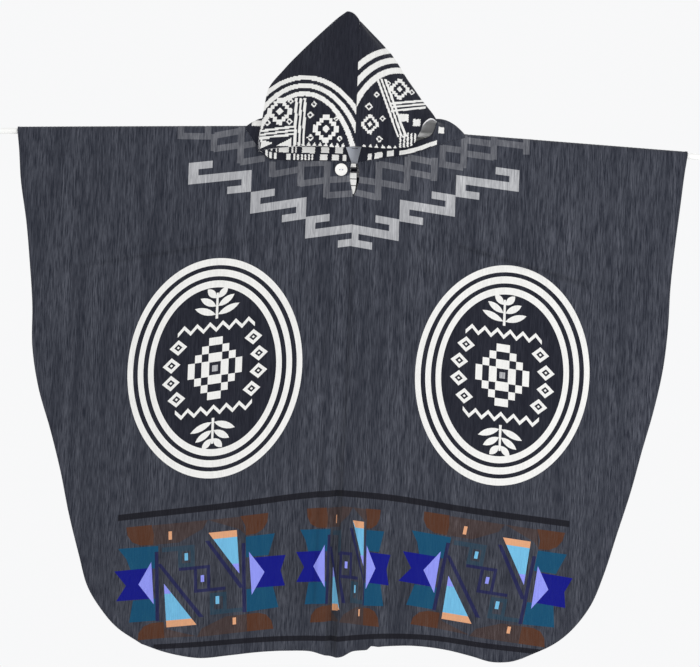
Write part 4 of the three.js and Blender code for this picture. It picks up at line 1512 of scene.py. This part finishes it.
hoods = {side: hood_side(side) for side in SIGN}

# %% [markdown]
# Materials of the small parts
#
# The button is satin plastic, the rod has white satin paint, the loop is a dark twisted cord and the label
# is a blank ribbon. Each gets a little unevenness of its own, because nothing handmade is one flat tone.

# %% Materials of the small parts
FINISH = {
    "button": {
        "colour": (0.88, 0.87, 0.84), "other": (0.80, 0.79, 0.76),
        "rough": 0.30, "lines": 180.0, "relief": 0.03,
    },
    "cord": {
        "colour": (0.010, 0.010, 0.015), "other": (0.045, 0.045, 0.055),
        "rough": 0.85, "lines": 1500.0, "relief": 0.5,
    },
    "label": {
        "colour": (0.87, 0.90, 0.97), "other": (0.74, 0.79, 0.92),
        "rough": 0.55, "lines": 1800.0, "relief": 0.4,
    },
    "rod": {
        "colour": (0.86, 0.86, 0.845), "other": (0.80, 0.80, 0.78),
        "rough": 0.36, "lines": 60.0, "relief": 0.05,
    },
    "thread": {
        "colour": (0.030, 0.032, 0.045), "other": (0.085, 0.09, 0.11),
        "rough": 0.8, "lines": 900.0, "relief": 0.3,
    },
    "floor": {
        "colour": (0.80, 0.80, 0.80), "other": (0.77, 0.77, 0.77),
        "rough": 0.8, "lines": 3.0, "relief": 0.02,
    },
}
RELIEF_HEIGHT = 0.0002
FINISH_RANGE = (0.3, 0.7)


def finish(name):
    """Material of a small part: two near tones in soft noise, with a slight relief."""
    row = FINISH[name]
    material, tree, shader, place = new_material("finish_" + name, row["rough"])
    cloud = contrast(tree, stretched_noise(tree, place, (row["lines"],) * 3, 3.0), *FINISH_RANGE)
    two_tones(tree, shader, row["colour"], row["other"], cloud)
    relief(tree, shader, cloud, row["relief"], RELIEF_HEIGHT)
    return material


PLAIN = {name: finish(name) for name in FINISH}
print(len(PLAIN), "materials for small parts")

# %% [markdown]
# Tubes and slabs
#
# Thread, cord and rod are tubes along a path. Seam allowances, the facing of the slit and the label are
# thin slabs. One helper makes each kind, and another joins the results into one object with its faces
# outwards.

# %% Tubes and slabs
TILTED = np.array((0.36, 0.48, 0.8))
SHARP_CORNER = math.radians(40)


def across_path(path):
    """Two directions across a path at each of its points."""
    along = np.gradient(path, axis=0)
    along /= np.linalg.norm(along, axis=1, keepdims=True)
    first = np.cross(along, TILTED)
    first /= np.linalg.norm(first, axis=1, keepdims=True)
    return first, np.cross(along, first)


def tube(path, radius, sides):
    """Corners and faces of a round tube with closed ends."""
    first, second = across_path(path)
    turn = np.linspace(0, 2 * math.pi, sides, endpoint=False)[None, :, None]
    points = path[:, None] + radius * (first[:, None] * np.cos(turn) + second[:, None] * np.sin(turn))
    index = np.arange(len(path) * sides).reshape(len(path), sides)
    around = quads(np.column_stack([index, index[:, 0]])).tolist()
    return points.reshape(-1, 3), around + [index[0, ::-1].tolist(), index[-1].tolist()]


def slab(rows, thickness):
    """Corners and faces of a thin slab: a grid, the same grid moved by the thickness, and its edge."""
    index = np.arange(rows.shape[0] * rows.shape[1]).reshape(rows.shape[:2])
    ring = [*index[0], *index[1:, -1], *index[-1, -2::-1], *index[-2:0:-1, 0]]
    faces = quads(index).tolist() + (quads(index)[:, ::-1] + index.size).tolist()
    faces += [(b, a, a + index.size, b + index.size) for a, b in zip(ring, ring[1:] + ring[:1])]
    return np.vstack([rows.reshape(-1, 3), (rows + thickness).reshape(-1, 3)]), faces


def solid(name, parts, material):
    """One object from several sets of corners and faces."""
    points, polygons, count = [], [], 0
    for corners, faces in parts:
        points.append(np.array(corners) * MM)
        polygons += [[c + count for c in face] for face in faces]
        count += len(corners)
    mesh = bpy.data.meshes.new(name)
    mesh.from_pydata(np.vstack(points).tolist(), [], polygons)
    work = bmesh.new()
    work.from_mesh(mesh)
    bmesh.ops.recalc_face_normals(work, faces=work.faces)
    work.to_mesh(mesh)
    work.free()
    mesh.materials.append(material)
    mesh.shade_smooth()
    mesh.set_sharp_from_angle(angle=SHARP_CORNER)
    print(name, "has", sum(len(p) - 2 for p in polygons), "triangles")
    return new_object(name, mesh)


print("a corner of a small part is sharp above", round(math.degrees(SHARP_CORNER)), "degrees")

# %% [markdown]
# Seam allowances
#
# Where two pieces are sewn together, their edges are turned in and lie flat behind the seam. They are
# narrow dark strips. They also close the hair-wide gap between the two plain solids, so no light shows
# through a seam.

# %% Seam allowances
ALLOWANCE_HALF = 6
ALLOWANCE_THICK = 0.9
ALLOWANCE_GAP = 0.15
ALLOWANCE_ENDS = {"front": (-131, -1014), "back": (-33, -1008)}
SEAM_STEP = 8
HOOD_ALLOWANCE_HALF = 3
HOOD_ALLOWANCE_SECTIONS = 9.6


def body_allowance(face):
    """The strip behind the centre seam, at the front or the back."""
    z = np.arange(*ALLOWANCE_ENDS[face], -SEAM_STEP)[:, None] + np.zeros((1, 5))
    x = SEAM_X + np.linspace(-ALLOWANCE_HALF, ALLOWANCE_HALF, 5)[None, :] + np.zeros_like(z)
    way = -1 if face == "front" else 1
    y = way * (stand_off(face, x, z) - CLOTH - ALLOWANCE_GAP)
    return slab(np.stack([x, y, z], axis=2), (0, -way * ALLOWANCE_THICK, 0))


def hood_allowance(z_name, y_name, way):
    """The strip behind the crown seam or the back seam of the hood."""
    places = np.arange(0.1, HOOD_ALLOWANCE_SECTIONS, 0.2)
    z = spline(HOOD_SEAMS[z_name], places) + np.zeros((1, 3))
    y = spline(HOOD_SEAMS[y_name], places) - way * (CLOTH + ALLOWANCE_GAP) + np.zeros((1, 3))
    x = SEAM_X + np.linspace(-HOOD_ALLOWANCE_HALF, HOOD_ALLOWANCE_HALF, 3)[None, :] + np.zeros_like(z)
    return slab(np.stack([x, y, z], axis=2), (0, -way * ALLOWANCE_THICK, 0))


allowances = {
    "allowance_body": [body_allowance("front"), body_allowance("back")],
    "allowance_hood": [hood_allowance("front_z", "front_y", -1), hood_allowance("back_z", "back_y", 1)],
}
allowances = {name: solid(name, parts, WOOL[NAMES.index("night")]) for name, parts in allowances.items()}

# %% [markdown]
# The facing of the slit
#
# The left edge of the neck slit is turned in, so the pale reverse of the cloth shows beside the slit's dark
# depth, with thin dark lines of the border across it. Four short slabs under the edge make the pale parts,
# and the gaps between them are the dark lines.

# %% Facing of the slit
FACING_BLOCKS = [(-64, -71), (-82, -93), (-94.5, -106), (-107.5, -123)]
FACING_SHARE = 0.72
FACING_UNDER = 4
FACING_THICK = 0.8


def facing(top, bottom):
    """One block of the facing, from under the left edge across most of the slit."""
    z = np.linspace(top, bottom, 5)
    start = SEAM_X - np.interp(-z, -np.array(SLIT["z"], float), SLIT["left"])
    end = SEAM_X + np.interp(-z, -np.array(SLIT["z"], float), SLIT["right"])
    share = np.linspace(0, 1, 4)[None, :]
    reach = start + FACING_SHARE * (end - start)
    x = (start - FACING_UNDER)[:, None] * (1 - share) + reach[:, None] * share
    z = z[:, None] + np.zeros_like(x)
    y = -stand_off("front", x, z) + CLOTH + ALLOWANCE_GAP
    return slab(np.stack([x, y, z], axis=2), (0, FACING_THICK, 0))


slit_facing = solid("slit_facing", [facing(*row) for row in FACING_BLOCKS], WOOL[NAMES.index("white")])

# %% [markdown]
# Overlocked edges
#
# The sides and the hem aren't folded over. A machine wraps a thread round the raw edge: in over the face,
# round the edge, in over the reverse, and on to the next stitch. The thread is one long tube a panel.

# %% Overlock thread
STITCH_PITCH = 4.0
STITCH_DEPTH = 4.0
THREAD_RADIUS = 0.22
THREAD_SIDES = 4
STITCH = [(1, 0, 0.0), (0, 0, 0.25), (0, 1, 0.4), (1, 1, 0.6), (0, 1, 0.8), (0, 0, 0.9)]
LOOK_AHEAD = 2
TRIAL_STITCHES = 20
TRIAL_DEPTH = 3


def overlock(side):
    """The path of the thread round one panel's free edge."""
    outline, free = panel_outline(side)
    edge = outline[1 : free - 1]
    length = np.concatenate([[0], np.cumsum(np.linalg.norm(np.diff(edge, axis=0), axis=1))])
    count = int(length[-1] / STITCH_PITCH)
    stitch = np.tile(np.array(STITCH), (count, 1))
    place = (np.repeat(np.arange(count), len(STITCH)) + stitch[:, 2]) * STITCH_PITCH
    flat = np.column_stack([np.interp(place, length, edge[:, k]) for k in range(2)])
    ahead = np.column_stack([np.interp(place + LOOK_AHEAD, length, edge[:, k]) for k in range(2)])
    behind = np.column_stack([np.interp(place - LOOK_AHEAD, length, edge[:, k]) for k in range(2)])
    along = (ahead - behind) / np.linalg.norm(ahead - behind, axis=1, keepdims=True)
    inwards = np.column_stack([-along[:, 1], along[:, 0]])
    trial = len(STITCH) * TRIAL_STITCHES
    if not inside(outline, flat[:trial] + inwards[:trial] * TRIAL_DEPTH).mean() > 0.5:
        inwards = -inwards
    flat = flat + inwards * (stitch[:, :1] * STITCH_DEPTH - 0.1)
    lift = np.where(stitch[:, 1] > 0.5, -CLOTH - THREAD_RADIUS, THREAD_RADIUS)[:, None]
    return hang(side, flat[:, 0], flat[:, 1]) + hang_normals(side, flat[:, 0], flat[:, 1]) * lift


overlocks = {}
for side in SIGN:
    thread = tube(overlock(side), THREAD_RADIUS, THREAD_SIDES)
    overlocks[side] = solid("overlock_" + side, [thread], PLAIN["thread"])

# %% [markdown]
# Button
#
# A flat round button with a raised rim, a shallow dish and two holes. It is turned on a lathe, so its
# height is a function of the distance from its centre. The two holes are cut out of the flat disc before it
# gets that height. A thread runs through both holes into the cloth.

# %% Button
BUTTON_PLACE = (-20, -77)
BUTTON_BACK_GAP = 2.95
BUTTON_RADIUS = 12
HOLE_RADIUS = 1.3
HOLE_SPACING = 5
BUTTON_RINGS = [12, 11.75, 11.3, 10.7, 10.0, 9.2, 8.4, 7.0, 5.2]
RING_CORNERS = 72
HOLE_CORNERS = 28
HOLE_EDGE = 1.2
BUTTON_THICK = 3.0
RIM_START = 11.2
RIM_DROP = 0.75
BACK_RIM_RISE = 0.6
DISH = (10.2, 8.4)
DISH_DEPTH = 0.75


def ring_points(x, z, radius, count):
    """Points round a circle."""
    turn = np.linspace(0, 2 * math.pi, count, endpoint=False)
    return np.column_stack([x + radius * np.cos(turn), z + radius * np.sin(turn)])


def button_front(distance):
    """Height of the front face over the back, from the rim's rounding to the dish."""
    rim = BUTTON_THICK - RIM_DROP * ease(RIM_START, BUTTON_RADIUS, distance) ** 2
    return rim - DISH_DEPTH * ease(*DISH, distance)


def button_parts():
    """Corners and faces of the button: front, back, rim and the walls of its holes."""
    loops = [ring_points(0, 0, r, RING_CORNERS) for r in BUTTON_RINGS]
    holes = [ring_points(way * HOLE_SPACING / 2, 0, HOLE_RADIUS, HOLE_CORNERS) for way in (-1, 1)]
    for way in (-1, 1):
        loops.append(ring_points(way * HOLE_SPACING / 2, 0, HOLE_RADIUS * HOLE_EDGE, HOLE_CORNERS))
    loops += holes
    made, faces = cut_flat(np.vstack(loops), loops)
    middle = made[faces].mean(axis=1)
    faces = faces[~inside(holes[0], middle) & ~inside(holes[1], middle)]
    distance = np.linalg.norm(made, axis=1)
    front = button_front(distance)
    back = BACK_RIM_RISE * ease(RIM_START, BUTTON_RADIUS, distance) ** 2
    near_hole = np.min([np.linalg.norm(made - (w * HOLE_SPACING / 2, 0), axis=1) for w in (-1, 1)], axis=0)
    front = front - 0.15 * ease(HOLE_RADIUS * 1.15, HOLE_RADIUS, near_hole)
    count = len(made)
    points = [np.column_stack([made[:, 0], -height, made[:, 1]]) for height in (front, back)]
    sides = {}
    for a, b, c in faces.tolist():
        for pair in ((a, b), (b, c), (c, a)):
            sides[pair] = True
    walls = [(b, a, a + count, b + count) for a, b in sides if (b, a) not in sides]
    return np.vstack(points), faces.tolist() + (faces[:, ::-1] + count).tolist() + walls


BUTTON_THREAD_RADIUS = 0.3
BUTTON_THREAD_STEP = 0.4
STRAND_SIDES = 8
button_x, button_z = BUTTON_PLACE
button_back = -stand_off("front", button_x, button_z) - BUTTON_BACK_GAP
corners, faces = button_parts()
button = solid("coat_button", [(corners + (button_x, button_back, button_z), faces)], PLAIN["button"])
stitch_path = [(-2.5, 2.2), (-2.5, -2.0), (-1.5, -2.75), (1.5, -2.75), (2.5, -2.0), (2.5, 2.2)]
stitches = []
for lift in (-0.35, 0.35):
    path = np.array([(button_x + x, button_back + y, button_z + lift) for x, y in stitch_path])
    stitches.append(tube(smooth(path, BUTTON_THREAD_STEP), BUTTON_THREAD_RADIUS, STRAND_SIDES))
button_thread = solid("button_thread", stitches, PLAIN["label"])

# %% [markdown]
# Button loop
#
# The loop starts inside the right edge of the slit, runs over the slit and under the button, and turns
# back. It is two strands twisted round each other along the same route that the plain solid follows.

# %% Button loop
LOOP_RADIUS = 1.1
LOOP_HALF_GAP = 3.4
LOOP_END = (-25, -23)
LOOP_STEP = 0.45
STRAND_TURN = 4.6


def on_panel(x):
    """How far forwards the cord's middle line lies where it rests on the panel."""
    return -stand_off("front", x, button_z) - LOOP_RADIUS - SEAM_GAP


def loop_route():
    """The middle line of the doubled cord."""
    runs = []
    for lift in (LOOP_HALF_GAP, -LOOP_HALF_GAP):
        z = button_z + lift
        slit_right = np.interp(-z - LOOP_RADIUS, -np.array(SLIT["z"], float), SLIT["right"])
        root = SEAM_X + slit_right - SEAM_GAP - 0.1
        front = -stand_off("front", root, button_z)
        under = [(root, front + LOOP_RADIUS, z), (root - 4, on_panel(0) + 0.8, z)]
        runs.append(under + [(-3, on_panel(0) - 0.3, z), (-14, on_panel(-14), z)])
    end_x, round_x = LOOP_END
    turn = [
        (round_x, on_panel(end_x), button_z + LOOP_HALF_GAP * 0.8),
        (end_x, on_panel(end_x), button_z),
        (round_x, on_panel(end_x), button_z - LOOP_HALF_GAP * 0.8),
    ]
    return smooth(runs[0] + turn + runs[1][::-1], LOOP_STEP)


route = loop_route()
run = np.concatenate([[0], np.cumsum(np.linalg.norm(np.diff(route, axis=0), axis=1))])
first, second = across_path(route)
strands = []
for start in (0, math.pi):
    angle = (start + 2 * math.pi * run / STRAND_TURN)[:, None]
    strand = route + LOOP_RADIUS / 2 * (first * np.cos(angle) + second * np.sin(angle))
    strands.append(tube(strand, LOOP_RADIUS / 2, STRAND_SIDES))
button_loop = solid("twisted_loop", strands, PLAIN["cord"])
print("the loop is", round(run[-1], 1), "mm long")

# %% [markdown]
# Label
#
# The label is a blank ribbon sewn inside the back of the neck by its top and bottom edge. It bulges a
# little between them, so a grid with a shallow wave and a small thickness is enough. Short stitches hold
# both edges.

# %% Label
LABEL_HALF_WIDTH = 17
LABEL_TOP, LABEL_BOTTOM = -30, -62
LABEL_Y = 7.3
LABEL_THICK = 0.4
LABEL_STITCHES = 11
LABEL_STITCH_PITCH = 3
LABEL_STITCH_START = -15.5
LABEL_STITCH_INSET = 1.5
LABEL_THREAD_RADIUS = 0.14
LABEL_THREAD_SIDES = 6

x = np.linspace(-LABEL_HALF_WIDTH, LABEL_HALF_WIDTH, 25)[None, :] + np.zeros((21, 1))
z = np.linspace(LABEL_TOP, LABEL_BOTTOM, 21)[:, None] + np.zeros_like(x)
bulge = np.sin(math.pi * (LABEL_TOP - z) / (LABEL_TOP - LABEL_BOTTOM)) * (0.25 + 0.06 * np.cos(x / 5))
label_rows = np.stack([SEAM_X + x, LABEL_Y - 0.1 - bulge, z], axis=2)
neck_label = solid("blank_label", [slab(label_rows, (0, LABEL_THICK, 0))], PLAIN["label"])
label_stitches = []
for height in (LABEL_TOP - LABEL_STITCH_INSET, LABEL_BOTTOM + LABEL_STITCH_INSET):
    for k in range(LABEL_STITCHES):
        left = SEAM_X + LABEL_STITCH_START + LABEL_STITCH_PITCH * k
        over = [(left, LABEL_Y, height), (left + 0.5, LABEL_Y - 0.3, height)]
        path = np.array(over + [(left + 1.6, LABEL_Y - 0.3, height), (left + 2.1, LABEL_Y, height)])
        label_stitches.append(tube(smooth(path, 0.5), LABEL_THREAD_RADIUS, LABEL_THREAD_SIDES))
label_thread = solid("label_thread", label_stitches, PLAIN["thread"])

# %% [markdown]
# Rod
#
# The rod is plain, round and painted white, with flat ends. Its two arms droop a little from the middle, so
# it is a tube along the same curve that the cloth hangs from, and not a straight cylinder.

# %% Rod
ROD_STEPS = 142
ROD_SIDES = 48

x = np.linspace(-ROD_HALF_LENGTH, ROD_HALF_LENGTH, ROD_STEPS)
rod_line = np.column_stack([x, 0 * x, rod_z(x)])
rod = solid("white_rod", [tube(rod_line, ROD_RADIUS, ROD_SIDES)], PLAIN["rod"])
print("the rod is", 2 * ROD_HALF_LENGTH, "mm long, its ends", round(-rod_z(ROD_HALF_LENGTH), 1), "mm lower")

# %% [markdown]
# Riding and replacing
#
# Every piece moves with the body that carries it and stands for its plain solid. Each panel and each side
# of the hood is a sheet with the size of its cut.

# %% Cloth pieces into the frame
SMALL_PARTS = [
    (button, "button", "button"),
    (button_loop, "button_loop", "cord"),
    (neck_label, "neck_label", "label"),
    (rod, "hanging_rod", "rod"),
]
SEWING = [
    (overlocks["left"], "wool_cloth"),
    (overlocks["right"], "wool_cloth"),
    (slit_facing, "wool_cloth"),
    (allowances["allowance_body"], "wool_cloth"),
    (allowances["allowance_hood"], "wool_cloth"),
    (button_thread, "button"),
    (label_thread, "label"),
]
for piece, replaced, slot in SMALL_PARTS:
    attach(piece, BODY)
    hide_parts(replaced)
for piece, slot in SEWING:
    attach(piece, BODY)
for side in SIGN:
    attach(panels[side], BODY)
    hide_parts("panel_" + side)
    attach(hoods[side], BODY)
    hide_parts("hood_" + side)
print(len(SMALL_PARTS) + len(SEWING) + len(panels) + len(hoods), "pieces ride on", BODY)

# %% [markdown]
# Floor
#
# The poncho hangs well above a plain pale floor.

# %% Floor and finish
FLOOR_Z = -1.6
FLOOR_HALF = (2.4, 1.4)
floor_mesh = bpy.data.meshes.new("floor")
floor_signs = ((-1, -1), (1, -1), (1, 1), (-1, 1))
floor_corners = [(x * FLOOR_HALF[0], y * FLOOR_HALF[1], FLOOR_Z) for x, y in floor_signs]
floor_mesh.from_pydata(floor_corners, [], [(0, 1, 2, 3)])
floor_mesh.materials.append(PLAIN["floor"])
floor = new_object("floor", floor_mesh)
